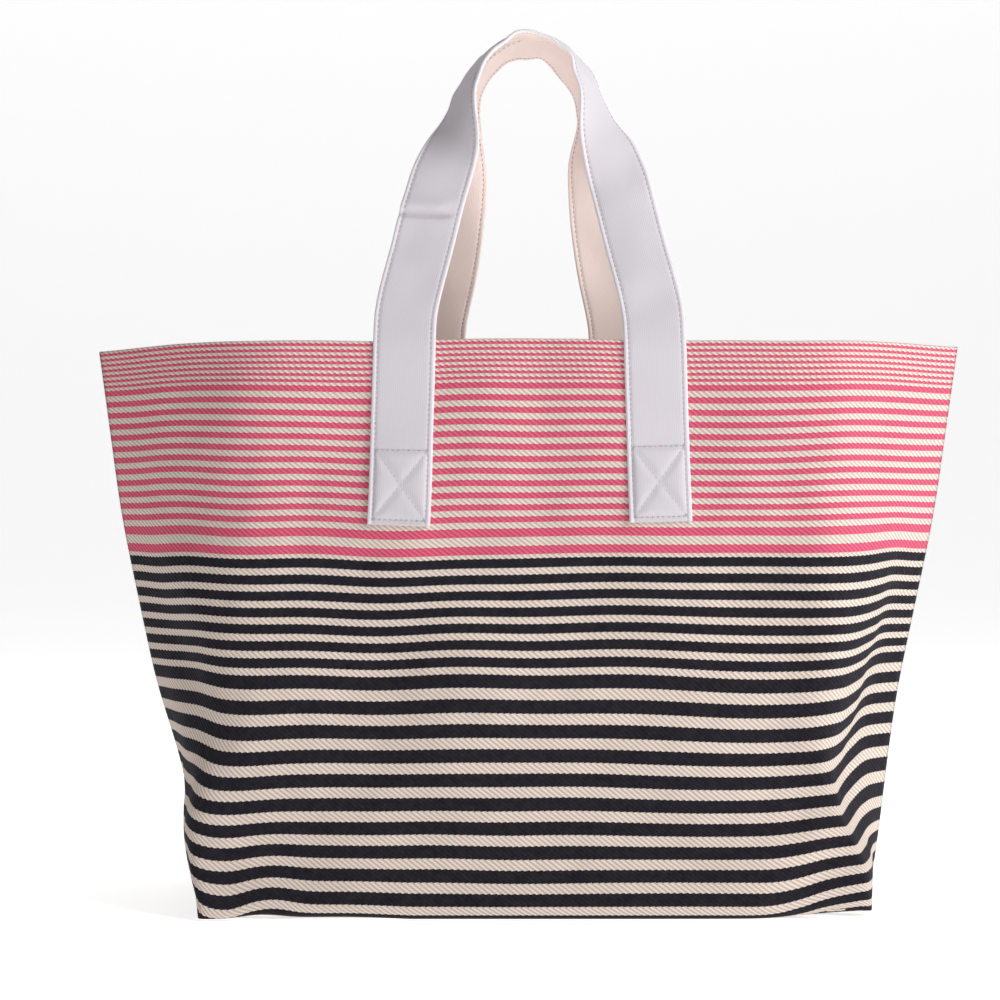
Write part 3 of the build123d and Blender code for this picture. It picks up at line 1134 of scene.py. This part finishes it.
    def facing(self, panel: Panel) -> None:
        """The rim's turned-in band, with its stripes mirrored down the inside."""
        wall = self.sizes.wall
        up = np.linspace(wall - self.facing_height, wall - 1.5 * MM, 12)
        depth = 2 * self.fold_radius
        name = f"{panel.side.word}_facing_cloth"
        across = panel.across[1:-1]
        piece = self._strip(name, panel, across, up, (depth, depth - self.twill + 0.1 * MM), fold_down=True)
        self._place(piece, "striped_twill", f"{panel.side.word}_facing")

    def lining(self, panel: Panel) -> None:
        """The lining: the sheet moved inwards, up to a little above the facing's lower edge."""
        inside, outside = panel.layer(3.9 * MM), panel.layer(3.4 * MM)
        rows = int(np.searchsorted(panel.up, self.sizes.wall - self.lining_top))
        faces = np.concatenate([grid_faces(panel.base_index), grid_faces(panel.wall_index[:rows])])[:, ::-1]
        points, faces = close_layer(panel.face_side(inside), panel.face_side(outside), panel.turn(faces))
        used = np.unique(faces)
        lookup = np.zeros(len(points), int)
        lookup[used] = np.arange(len(used))
        cloth = np.concatenate([panel.cloth, panel.cloth])[used]
        piece = make_piece(f"{panel.side.word}_lining_cloth", points[used], lookup[faces], cloth)
        self._place(piece, "lining_cotton", f"{panel.side.word}_lining")

    def patch(self, panel: Panel, hand: Hand) -> None:
        """The reinforcing patch behind one strap end, between the panel and the lining."""
        low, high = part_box(f"{panel.side.word}_{hand.word}_patch")
        across = np.linspace(low.x, high.x, 13)
        up = np.linspace(low.z, high.z, 13)
        name = f"{panel.side.word}_{hand.word}_patch_cloth"
        piece = self._strip(name, panel, across, up, (2.5 * MM, 1.6 * MM))
        node = f"{panel.side.word}_{hand.word}_patch"
        self._place(piece, "cotton_tape", node)

    def seam_tape(self, hand: Hand) -> None:
        """The pressed-open allowances of one side seam: a strip on each panel, joined at the seam."""
        low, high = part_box(f"{hand.word}_seam_tape")
        reach = 9 * MM
        inwards = self.sizes.cloth_half - np.linspace(reach, 1.5 * MM, 5)
        up = np.linspace(low.z + 12 * MM, high.z, 90)
        grid_side, grid_up = np.meshgrid(inwards, up)
        halves = []
        for side in Side:
            panel = self.panels[side]
            places = hand.value * grid_side
            halves.append([panel.sample(places, grid_up, depth) for depth in self.tape_depths])
        inside = np.concatenate([halves[0][0], halves[1][0][:, ::-1]], 1)
        outside = np.concatenate([halves[0][1], halves[1][1][:, ::-1]], 1)
        faces = grid_faces(number_grid(*inside.shape[:2]))
        faces = faces[:, ::-1] if hand is Hand.RIGHT else faces
        points, faces = close_layer(inside.reshape(-1, 3), outside.reshape(-1, 3), faces)
        width = np.concatenate([-inwards + inwards[0] - reach, inwards[::-1] - inwards[0] + reach])
        cloth = cloth_places(width, up)
        piece = make_piece(f"{hand.word}_seam_allowance", points, faces, np.concatenate([cloth, cloth]))
        self._place(piece, "cotton_tape", f"{hand.word}_seam_tape")

    def _floor_strip(self, name: str, node: str) -> None:
        """A flat allowance of the base seam or of a boxed corner: a tape on the base cloth, over its node.

        Args:
            name: Name of the piece.
            node: The CAD node that it stands for.
        """
        low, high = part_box(node)
        inset = 0.5 * MM
        x = np.linspace(low.x + inset, high.x - inset, 80)
        y = np.linspace(low.y + inset, high.y - inset, 40)
        grid_x, grid_y = np.meshgrid(x, y)
        ground = self._base_height(grid_x, grid_y)
        flat = np.stack([grid_x, grid_y, ground], -1)
        top, bottom = flat + [0, 0, 2.5 * MM], flat + [0, 0, 1.7 * MM]
        faces = grid_faces(number_grid(*grid_x.shape))
        points, faces = close_layer(top.reshape(-1, 3), bottom.reshape(-1, 3), faces)
        cloth = cloth_places(x, y)
        piece = make_piece(name, points, faces, np.concatenate([cloth, cloth]))
        self._place(piece, "cotton_tape", node)

    def _base_height(self, x: np.ndarray, y: np.ndarray) -> np.ndarray:
        """Height of the base cloth under places: that of the nearest vertex of the base's grid."""
        panel = self.panels[Side.FRONT]
        grid = panel.points[panel.base_index]
        columns = np.interp(x, grid[0, :, 0], np.arange(grid.shape[1]))
        rows = np.interp(np.abs(y), -grid[:, grid.shape[1] // 2, 1], np.arange(grid.shape[0]))
        return grid[np.rint(rows).astype(int), np.rint(columns).astype(int), 2]

    def pocket(self) -> None:
        """The slip pocket on the back lining, its mouth standing a little open, and its stitched hem."""
        panel = self.panels[Side.BACK]
        across = np.linspace(-self.pocket_half, self.pocket_half, 60)
        up = np.linspace(self.pocket_top - self.pocket_height, self.pocket_top, 48)
        grid_across, grid_up = np.meshgrid(across, up)
        rise = (grid_up - up[0]) / self.pocket_height
        gape = 5 * MM * np.cos(0.5 * math.pi * grid_across / self.pocket_half) ** 1.3 * rise**3
        name = "slip_pocket_cloth"
        piece = self._strip(name, panel, across, up, (4.8 * MM + gape, 4.2 * MM + gape))
        self._place(piece, "lining_cotton", "slip_pocket")
        rows = grid_up[:, 0] > self.pocket_top - self.pocket_hem
        depths = (5.3 * MM + gape[rows], 4.85 * MM + gape[rows])
        hem = self._strip("pocket_hem_cloth", panel, across, up[rows], depths)
        self._place(hem, "lining_cotton", "pocket_hem")


# ---------------------------------------------------------------- straps


@dataclass
class Band:
    """A flat band in space: its middle line with the direction across it and out of its face."""

    middle: np.ndarray
    across: np.ndarray
    outward: np.ndarray

    @property
    def along(self) -> np.ndarray:
        """Distance along the middle line."""
        steps = np.linalg.norm(np.diff(self.middle, axis=0), axis=1)
        return np.concatenate([[0.0], np.cumsum(steps)])

    def at(self, distance: np.ndarray) -> "Band":
        """The band at other distances along it, read in straight lines."""
        along = self.along
        parts = []
        for values in (self.middle, self.across, self.outward):
            parts.append(np.stack([np.interp(distance, along, values[:, k]) for k in range(3)], -1))
        return Band(parts[0], unit(parts[1]), unit(parts[2]))


def stitch_shape(length: float, radius: float) -> tuple[np.ndarray, np.ndarray]:
    """One stitch: a thread that rises, lies along the cloth and dips again, as rings of five points.

    Args:
        length: Length of the stitch.
        radius: Radius of the thread.

    Returns:
        Its points (along, across, up) and quads.
    """
    share = np.linspace(-1.0, 1.0, 5)
    lift = radius * (0.9 - 1.4 * np.abs(share) ** 3)
    thick = radius * np.array([0.55, 1.0, 1.0, 1.0, 0.55])
    turn = np.linspace(0, 2 * math.pi, 5, endpoint=False)
    x = np.repeat(share * length / 2, 5)
    y = (thick[:, None] * np.cos(turn)).ravel()
    z = (lift[:, None] + thick[:, None] * np.sin(turn)).ravel()
    rings = number_grid(5, 5)
    wrapped = np.concatenate([rings, rings[:, :1]], 1)
    faces = grid_faces(wrapped)[:, ::-1]
    caps = np.array([[0, 1, 2, 3], [0, 3, 4, 4], [20, 23, 22, 21], [20, 24, 24, 23]])
    return np.stack([x, y, z], -1), np.concatenate([faces, caps])


def stitch_rows(
    name: str, places: np.ndarray, ways: np.ndarray, ups: np.ndarray, length: float, radius: float
) -> bpy.types.Object:
    """Many stitches as one piece: the one stitch's shape, carried to every place.

    Args:
        name: Name of the piece.
        places: Middles of the stitches, on the cloth.
        ways: Directions along the stitches.
        ups: Directions out of the cloth.
        length: Length of a stitch.
        radius: Radius of the thread.

    Returns:
        The piece.
    """
    shape, faces = stitch_shape(length, radius)
    ways = unit(ways)
    sides = unit(np.cross(ups, ways))
    points = places[:, None] + ways[:, None] * shape[:, :1] + sides[:, None] * shape[:, 1:2]
    points = points + unit(ups)[:, None] * shape[:, 2:]
    quads = faces[None] + (np.arange(len(places)) * len(shape))[:, None, None]
    quads = quads.reshape(-1, 4)
    mesh = bpy.data.meshes.new(name)
    loops = [[a, b, c] if c == d else [a, b, d] if b == c else [a, b, c, d] for a, b, c, d in quads.tolist()]
    mesh.from_pydata(points.reshape(-1, 3).tolist(), [], loops)
    mesh.polygons.foreach_set("use_smooth", np.ones(len(mesh.polygons), bool))
    mesh.update()
    piece = bpy.data.objects.new(name, mesh)
    bpy.context.scene.collection.objects.link(piece)
    LOG.info("%s: %d stitches", name, len(places))
    return piece


@dataclass
class Strap:
    """One strap: a folded, stitched cotton band sewn to a panel at both ends."""

    panel: Panel
    wardrobe: Wardrobe
    width: float = 38 * MM
    half_thickness: float = 1.15 * MM
    edge_radius: float = 1.1 * MM
    tail: float = 110 * MM
    splay: float = 3 * MM
    crown: float = 194.5 * MM
    crown_setback: float = 20 * MM
    arch: tuple[tuple[float, float], ...] = ((41 * MM, 151 * MM), (33 * MM, 173 * MM), (17 * MM, 190 * MM))
    twist: float = math.radians(69)
    stitch_inset: float = 3.0 * MM
    stitch_pitch: float = 3.1 * MM
    stitch_length: float = 2.3 * MM
    thread_radius: float = 0.26 * MM
    groove_depth: float = 0.4 * MM
    box_height: float = 43 * MM
    box_raise: float = 3 * MM
    crease_height: float = 84 * MM
    crease_depth: float = 3 * MM
    puff: float = 1.2 * MM
    puff_reach: float = 2.4 * MM
    end_count: int = 40

    @property
    def word(self) -> str:
        """Which side the strap is on."""
        return self.panel.side.word

    @property
    def stance(self) -> float:
        """Distance of each tail from the middle, read from the frame."""
        low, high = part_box(f"{self.word}_right_tail")
        return 0.5 * (low.x + high.x)

    @property
    def legs(self) -> tuple[tuple[float, float], ...]:
        """Route of one leg, as pairs of a distance from the middle and a height over the rim."""
        foot = self.stance
        if self.panel.side is Side.FRONT:
            middle = ((65.5 * MM, 60 * MM), (55.5 * MM, 100 * MM), (46 * MM, 130 * MM))
        else:
            middle = ((51.5 * MM, 55 * MM), (47 * MM, 85 * MM), (43.5 * MM, 124 * MM))
        return ((foot, 0.0), (foot - 1 * MM, 20 * MM), *middle, *self.arch)

    def build(self) -> None:
        """Makes the band, its edge stitching and the stitching of its ends."""
        band = self._route()
        self._band_piece(band)
        self._edge_stitching(band)
        for hand in Hand:
            self._box_stitching(band, hand)

    def _route(self) -> Band:
        """The band from the foot of the left tail over the crown to the foot of the right tail.

        The tails lie on the panel. The loop follows a curve in the plane that leans from the rim to the
        crown, and its face turns about the curve by the twist between the rim and the crown.
        """
        sizes = self.panel.sizes
        lift = -(0.35 * MM + self.half_thickness)
        foot = sizes.wall - self.tail
        tails = {}
        for hand in Hand:
            up = np.linspace(foot, sizes.wall - 1 * MM, self.end_count)
            stance = hand.value * np.linspace(self.stance + self.splay, self.stance, self.end_count)
            middle = self.panel.sample(stance, up, lift)
            out = middle - self.panel.sample(stance, up, 0.0)
            middle[:, 1] = soften(middle[:, 1], 4.0, 0)
            tails[hand] = (middle, soften(unit(out), 4.0, 0))
        crown_y = self.panel.side.value * self.crown_setback
        start = {hand: tails[hand][0][-1] for hand in Hand}
        rim = 0.5 * (start[Hand.LEFT] + start[Hand.RIGHT])
        crown = np.array([0.0, crown_y, sizes.height + self.crown])
        rise = crown - np.array([0.0, rim[1], rim[2]])
        upward = unit(rise)
        reach = float(np.linalg.norm(rise))
        stretch = reach / self.crown
        right = [(x, h * stretch) for x, h in self.legs][::-1]
        left = [(-x, h) for x, h in right[::-1]]
        flat = np.array(left + [(0.0, reach)] + right)
        x, h = self._spline(flat, 240)
        middle = np.array([0.0, rim[1], rim[2]]) + np.outer(x, [1, 0, 0]) + np.outer(h, upward)
        along = unit(np.gradient(middle, axis=0))
        front = unit(np.cross([1.0, 0.0, 0.0], upward))
        front = front * np.sign(front[1] * self.panel.side.value)
        inward = np.cross(along, front) * (1 if self.panel.side is Side.FRONT else -1)
        share = np.linspace(0, 1, len(x))
        turn = self.twist * ease(np.minimum(share, 1 - share), 0.19, 0.36)
        across = inward * np.cos(turn)[:, None] + front * np.sin(turn)[:, None]
        outward = front * np.cos(turn)[:, None] - inward * np.sin(turn)[:, None]
        left_mid, left_out = tails[Hand.LEFT]
        right_mid, right_out = tails[Hand.RIGHT]
        side = np.tile([1.0, 0.0, 0.0], (self.end_count, 1))
        middle = np.concatenate([left_mid, middle[2:-2], right_mid[::-1]])
        outward = np.concatenate([left_out, outward[2:-2], right_out[::-1]])
        across = np.concatenate([side, across[2:-2], -side])
        band = Band(middle, across, outward)
        total = band.along[-1]
        even = band.at(np.linspace(0.0, total, int(total / (1.25 * MM))))
        middle = soften(even.middle, 4.0, 0)
        outward = unit(soften(even.outward, 5.0, 0))
        tangent = unit(np.gradient(middle, axis=0))
        outward = unit(outward - tangent * np.sum(outward * tangent, -1, keepdims=True))
        across = np.cross(outward, tangent)
        reference = soften(even.across, 5.0, 0)
        across = across * np.sign(np.sum(across * reference, -1, keepdims=True))
        return Band(middle, across, outward)

    @staticmethod
    def _spline(knots: np.ndarray, count: int) -> tuple[np.ndarray, np.ndarray]:
        """A smooth curve through knots: Catmull-Rom by chord length, then averaged.

        Args:
            knots: Points that the curve passes.
            count: Number of points along it.

        Returns:
            Its two coordinates.
        """
        ends = [2 * knots[0] - knots[1], *knots, 2 * knots[-1] - knots[-2]]
        ends = np.array(ends)
        chord = np.concatenate([[0], np.cumsum(np.linalg.norm(np.diff(ends, axis=0), axis=1) ** 0.5)])
        place = np.linspace(chord[1], chord[-2], count)
        span = np.clip(np.searchsorted(chord, place, side="right") - 1, 1, len(chord) - 3)
        p = [ends[span + k] for k in (-1, 0, 1, 2)]
        t = [chord[span + k] for k in (-1, 0, 1, 2)]

        def between(a: np.ndarray, b: np.ndarray, ta: np.ndarray, tb: np.ndarray) -> np.ndarray:
            """Straight line from a to b as the parameter goes from ta to tb."""
            share = ((place - ta) / (tb - ta))[:, None]
            return a * (1 - share) + b * share

        first = [between(p[k], p[k + 1], t[k], t[k + 1]) for k in range(3)]
        second = [between(first[k], first[k + 1], t[k], t[k + 2]) for k in range(2)]
        curve = between(second[0], second[1], t[1], t[2])
        return curve[:, 0], curve[:, 1]

    def _profile(self) -> tuple[np.ndarray, np.ndarray]:
        """The band's cut: flat faces, a groove under each row of stitching and rounded folded edges."""
        half = self.width / 2
        places = np.sin(np.linspace(-0.5 * math.pi, 0.5 * math.pi, 31)) * half
        inner = np.array([-1, 1]) * (half - self.stitch_inset)
        places = np.unique(np.concatenate([places, inner, inner - 0.8 * MM, inner + 0.8 * MM]))
        past = np.clip((np.abs(places) - (half - self.edge_radius)) / self.edge_radius, 0, 1)
        height = self.half_thickness * np.sqrt(np.clip(1 - past**2, 0, 1))
        height = height - self.groove_depth * hump(np.abs(places), half - self.stitch_inset, 0.7 * MM)
        height = np.maximum(height, 0.0)
        ring_x = np.concatenate([places, places[-2:0:-1]])
        ring_z = np.concatenate([height, -height[-2:0:-1]])
        return ring_x, ring_z

    def _ripple(self, along: np.ndarray, across: np.ndarray, total: float) -> np.ndarray:
        """Softness of the band: slow waves of its face, folds at the crown, a sharp crease on the left leg.

        Args:
            along: Distance from the left tail's foot.
            across: Distance from the middle line.
            total: Length of the band.

        Returns:
            Height of the face over the flat band; none on the tails.
        """
        leg = np.minimum(along, total - along)
        seed = self.panel.seed
        waves = Undulation(seed + 7, height=1.5 * MM, shortest=25 * MM, longest=90 * MM).at(across, along)
        crease_at = self.tail + self.crease_height + 0.18 * across
        crease = hump(along, crease_at, 1.7 * MM) - 0.6 * hump(along, crease_at + 6 * MM, 4 * MM)
        crease = crease * ease(-across, -16 * MM, -4 * MM) * (self.panel.side is Side.FRONT)
        folds = Undulation(seed + 9, height=1.1 * MM, shortest=13 * MM, longest=34 * MM).at(across, along)
        folds = folds * ease(leg, 0.5 * total - 85 * MM, 0.5 * total - 35 * MM)
        return waves * ease(leg, self.tail, self.tail + 45 * MM) + folds - self.crease_depth * crease

    def _quilting(self, along: np.ndarray, across: np.ndarray, total: float) -> np.ndarray:
        """Padding between the lines of the box and cross: it grows with the distance from the nearest line.

        Args:
            along: Distance from the left tail's foot.
            across: Distance from the middle line.
            total: Length of the band.

        Returns:
            Height of the outer face over the flat band.
        """
        half = self.width / 2 - self.stitch_inset
        up = np.minimum(along, total - along) - self.box_raise - self.box_height / 2
        steep = self.box_height / 2 / half
        slant = np.minimum(np.abs(up - steep * across), np.abs(up + steep * across)) / math.hypot(1, steep)
        edge = np.minimum(half - np.abs(across), self.box_height / 2 - np.abs(up))
        above = np.abs(np.abs(up) - self.box_height / 2)
        puffed = np.where(edge > 0, np.minimum(slant, edge), 0.0)
        inside = self.puff * np.tanh(puffed / self.puff_reach)
        groove = 0.35 * MM * hump(above, 0.0, 1.6 * MM) * (np.abs(across) < half)
        return inside - groove

    def _band_piece(self, band: Band) -> None:
        """The band itself: its cut carried along the route."""
        ring_x, ring_z = self._profile()
        along = band.along
        total = along[-1]
        sway = self._ripple(along[:, None], ring_x[None, :], total)
        quilt = self._quilting(along[:, None], ring_x[None, :], total)
        sway = sway + np.where(np.arange(len(ring_x)) < len(ring_x) // 2 + 1, quilt, 0.0)
        height = ring_z[None, :] + sway
        points = (
            band.middle[:, None]
            + band.across[:, None] * ring_x[None, :, None]
            + band.outward[:, None] * height[..., None]
        )
        rows, cols = points.shape[:2]
        index = number_grid(rows, cols)
        faces = grid_faces(np.concatenate([index, index[:, :1]], 1))
        half = len(ring_x) // 2 + 1
        cap = np.arange(half - 1)
        other = (-cap) % cols
        caps = []
        for row, turn in ((0, 1), (rows - 1, -1)):
            ends = (cap, cap + 1, (other - 1) % cols, other)
            caps.append(np.stack([index[row, end] for end in ends], -1)[:, ::turn])
        faces = np.concatenate([faces, *caps])
        # The inner face lies one metre aside on the flat cloth, where the strap material paints warm bounce
        # light and backlight on it.
        inner = np.arange(cols) >= half
        cloth = np.stack(np.broadcast_arrays((ring_x + inner * 1.0)[None, :], along[:, None]), -1)
        name = f"{self.word}_strap_band"
        piece = make_piece(name, points.reshape(-1, 3), faces, cloth.reshape(-1, 2))
        self._face_out(piece)
        self.wardrobe.dress(piece, "strap_cotton")
        nodes = [f"{self.word}_strap"] + [f"{self.word}_{hand.word}_tail" for hand in Hand]
        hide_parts(*nodes)
        self._follow(piece)

    @staticmethod
    def _face_out(piece: bpy.types.Object) -> None:
        """Turns all faces of a closed piece outwards."""
        work = bmesh.new()
        work.from_mesh(piece.data)
        bmesh.ops.recalc_face_normals(work, faces=work.faces)
        work.to_mesh(piece.data)
        work.free()

    def _follow(self, piece: bpy.types.Object) -> None:
        """Bakes the piece's placement into its mesh."""
        f"{self.word}_handle"
        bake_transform(piece)

    def _edge_stitching(self, band: Band) -> None:
        """Both rows of stitches, on both faces, from tail to tail."""
        total = band.along[-1]
        start = self.stitch_inset
        places = np.arange(start, total - start, self.stitch_pitch)
        spot = band.at(places)
        tangent = unit(np.gradient(spot.middle, axis=0))
        reach = self.width / 2 - self.stitch_inset
        centres, ways, ups = [], [], []
        for row in (-1, 1):
            sway = self._ripple(places, np.full(len(places), row * reach), total)
            for face in (-1, 1):
                surface = face * (self.half_thickness - self.groove_depth) + sway
                centres.append(spot.middle + spot.across * (row * reach) + spot.outward * surface[:, None])
                ways.append(tangent)
                ups.append(spot.outward * face)
        piece = stitch_rows(
            f"{self.word}_strap_stitches",
            np.concatenate(centres),
            np.concatenate(ways),
            np.concatenate(ups),
            self.stitch_length,
            self.thread_radius,
        )
        self.wardrobe.dress(piece, "thread")
        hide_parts(f"{self.word}_strap_stitching")
        self._follow(piece)

    def _box_stitching(self, band: Band, hand: Hand) -> None:
        """The box and cross that hold one end: stitches along straight lines on the tail's face.

        Args:
            band: The strap's band.
            hand: Which end.
        """
        half = self.width / 2 - self.stitch_inset
        low, high = self.box_raise, self.box_raise + self.box_height
        corners = [(-half, low), (half, low), (half, high), (-half, high)]
        spots = []
        for start, end in ((0, 1), (2, 3), (0, 2), (3, 1)):
            first, last = np.array(corners[start]), np.array(corners[end])
            count = int(np.linalg.norm(last - first) / self.stitch_pitch)
            share = (np.arange(count) + 0.5)[:, None] / count
            middle = first + (last - first) * share
            spots.append(np.concatenate([middle, middle + unit(last - first) * MM], 1))
        spots = np.concatenate(spots)
        places = self._on_band(band, hand, spots[:, :2])
        piece = stitch_rows(
            f"{self.word}_{hand.word}_box_stitches",
            places.middle,
            self._on_band(band, hand, spots[:, 2:]).middle - places.middle,
            places.outward,
            self.stitch_length,
            self.thread_radius,
        )
        self.wardrobe.dress(piece, "thread")
        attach(piece, "bag")
        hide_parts(f"{self.word}_{hand.word}_stitching")

    def _on_band(self, band: Band, hand: Hand, spots: np.ndarray) -> Band:
        """Places on the outer face near one end, from pairs of place across and distance from the foot."""
        total = band.along[-1]
        along = spots[:, 1] if hand is Hand.LEFT else total - spots[:, 1]
        where = band.at(along)
        height = self.half_thickness - 0.1 * MM
        middle = where.middle + where.across * spots[:, :1] + where.outward * height
        return Band(middle, where.across, where.outward)


# ---------------------------------------------------------------- the scene


@dataclass(frozen=True)
class Studio:
    """Pale floor and backdrop, soft lights and the camera."""

    camera_place: tuple[float, float, float] = (-0.018, -1.40, 0.2505)
    lens: float = 79.5
    sensor: float = 36.0
    daylight: float = 0.10
    paper_glow: float = 0.69

    def build(self) -> None:
        """Sets everything up."""
        self._sweep()
        self._light("key", (1.7, -1.0, 1.1), 1.0, 36.5, (0.0, 0.0, 0.2))
        self._light("fill", (-0.1, -2.0, 0.45), 0.6, 3.5, (0.0, 0.0, 0.35))
        self._light("top", (0.1, 0.3, 2.2), 1.6, 14.0, (0.0, 0.0, 0.2))
        world = bpy.data.worlds.new("studio")
        world.use_nodes = True
        world.node_tree.nodes["Background"].inputs["Color"].default_value = (1, 1, 1, 1)
        nodes, links = world.node_tree.nodes, world.node_tree.links
        seen = nodes.new("ShaderNodeMath")
        seen.operation = "MULTIPLY_ADD"
        links.new(nodes.new("ShaderNodeLightPath").outputs["Is Camera Ray"], seen.inputs[0])
        seen.inputs[1].default_value = 1.0 - self.daylight
        seen.inputs[2].default_value = self.daylight
        links.new(seen.outputs[0], nodes["Background"].inputs["Strength"])
        bpy.context.scene.world = world
        bpy.context.scene.view_settings.view_transform = "Standard"
        camera = bpy.data.cameras.new("camera")
        camera.lens = self.lens
        camera.sensor_width = self.sensor
        holder = bpy.data.objects.new("camera", camera)
        holder.location = self.camera_place
        holder.rotation_euler = (math.radians(90), 0, 0)
        bpy.context.scene.collection.objects.link(holder)
        bpy.context.scene.camera = holder

    def _sweep(self) -> None:
        """The floor: one large pale sheet that curves up far behind the bag."""
        along = np.concatenate([np.linspace(-6, 3, 8), 3 + 3 * np.sin(np.linspace(0.1, 0.5 * math.pi, 14))])
        up = np.concatenate([np.zeros(8), 3 - 3 * np.cos(np.linspace(0.1, 0.5 * math.pi, 14))])
        across = np.linspace(-8, 8, 5)
        y, x = np.meshgrid(along, across, indexing="ij")
        z = np.broadcast_to(up[:, None], y.shape) - 0.2 * MM
        faces = grid_faces(number_grid(*y.shape))
        floor = make_piece("studio_floor", np.stack([x, y, z], -1).reshape(-1, 3), faces, mend=False)
        shader = Shader("studio_paper", 0.9, 0.0)
        shader.surface.inputs["Emission Color"].default_value = (1.0, 1.0, 1.0, 1.0)
        shader.surface.inputs["Emission Strength"].default_value = self.paper_glow
        grain = shader.noise(40.0, 3.0)
        light = shader.math("MULTIPLY_ADD", grain, 0.01, 0.90)
        paper = shader.finish(shader.shade((1.0, 1.0, 1.0, 1.0), light), grain, 0.1 * MM, 0.1)
        floor.data.materials.append(paper)

    @staticmethod
    def _light(
        name: str,
        place: tuple[float, float, float],
        size: float,
        power: float,
        target: tuple[float, float, float],
    ) -> None:
        """A square soft light that faces a target."""
        light = bpy.data.lights.new(name, "AREA")
        light.size = size
        light.energy = power
        holder = bpy.data.objects.new(name, light)
        holder.location = place
        way = np.array(target) - np.array(place)
        flat = math.hypot(way[0], way[1])
        holder.rotation_euler = (math.atan2(flat, -way[2]), 0.0, math.atan2(way[1], way[0]) - 0.5 * math.pi)
        bpy.context.scene.collection.objects.link(holder)


def main() -> None:
    """Builds the studio, the bag's cloth and the two straps."""
    logging.basicConfig(level=logging.INFO, format="%(name)s %(message)s")
    Studio().build()
    sizes = BagSizes.from_frame()
    wardrobe = Wardrobe()
    rim_end = (0.347, sizes.rim_half)
    left = CornerForm(
        fold=((0.0, 0.198), (0.08, 0.203), (0.16, 0.194), (0.347, 0.172)),
        seam=((0.0, 0.207), (0.05, 0.2135), (0.09, 0.221), (0.13, 0.235), (0.24, 0.258), rim_end),
        round_base=4 * MM,
        round_rim=32 * MM,
        cheek=3 * MM,
        lift=12 * MM,
        sweep=0.0,
        droop=4 * MM,
    )
    right = CornerForm(
        fold=((0.0, 0.205), (0.03, 0.205), (0.09, 0.182), (0.16, 0.182), (0.347, 0.190)),
        seam=((0.0, 0.2165), (0.035, 0.2215), (0.09, 0.2280), (0.13, 0.2335), (0.24, 0.257), rim_end),
        round_base=6 * MM,
        round_rim=19 * MM,
        cheek=15 * MM,
        lift=3 * MM,
        sweep=7 * MM,
        droop=1 * MM,
    )
    panels = {
        Side.FRONT: Panel(Side.FRONT, sizes, left, right, 11),
        Side.BACK: Panel(Side.BACK, sizes, left, right, 23),
    }
    BagCloth(wardrobe, sizes, panels=panels).build()
    for side in Side:
        Strap(panels[side], wardrobe).build()


if __name__ == "__main__":
    main()
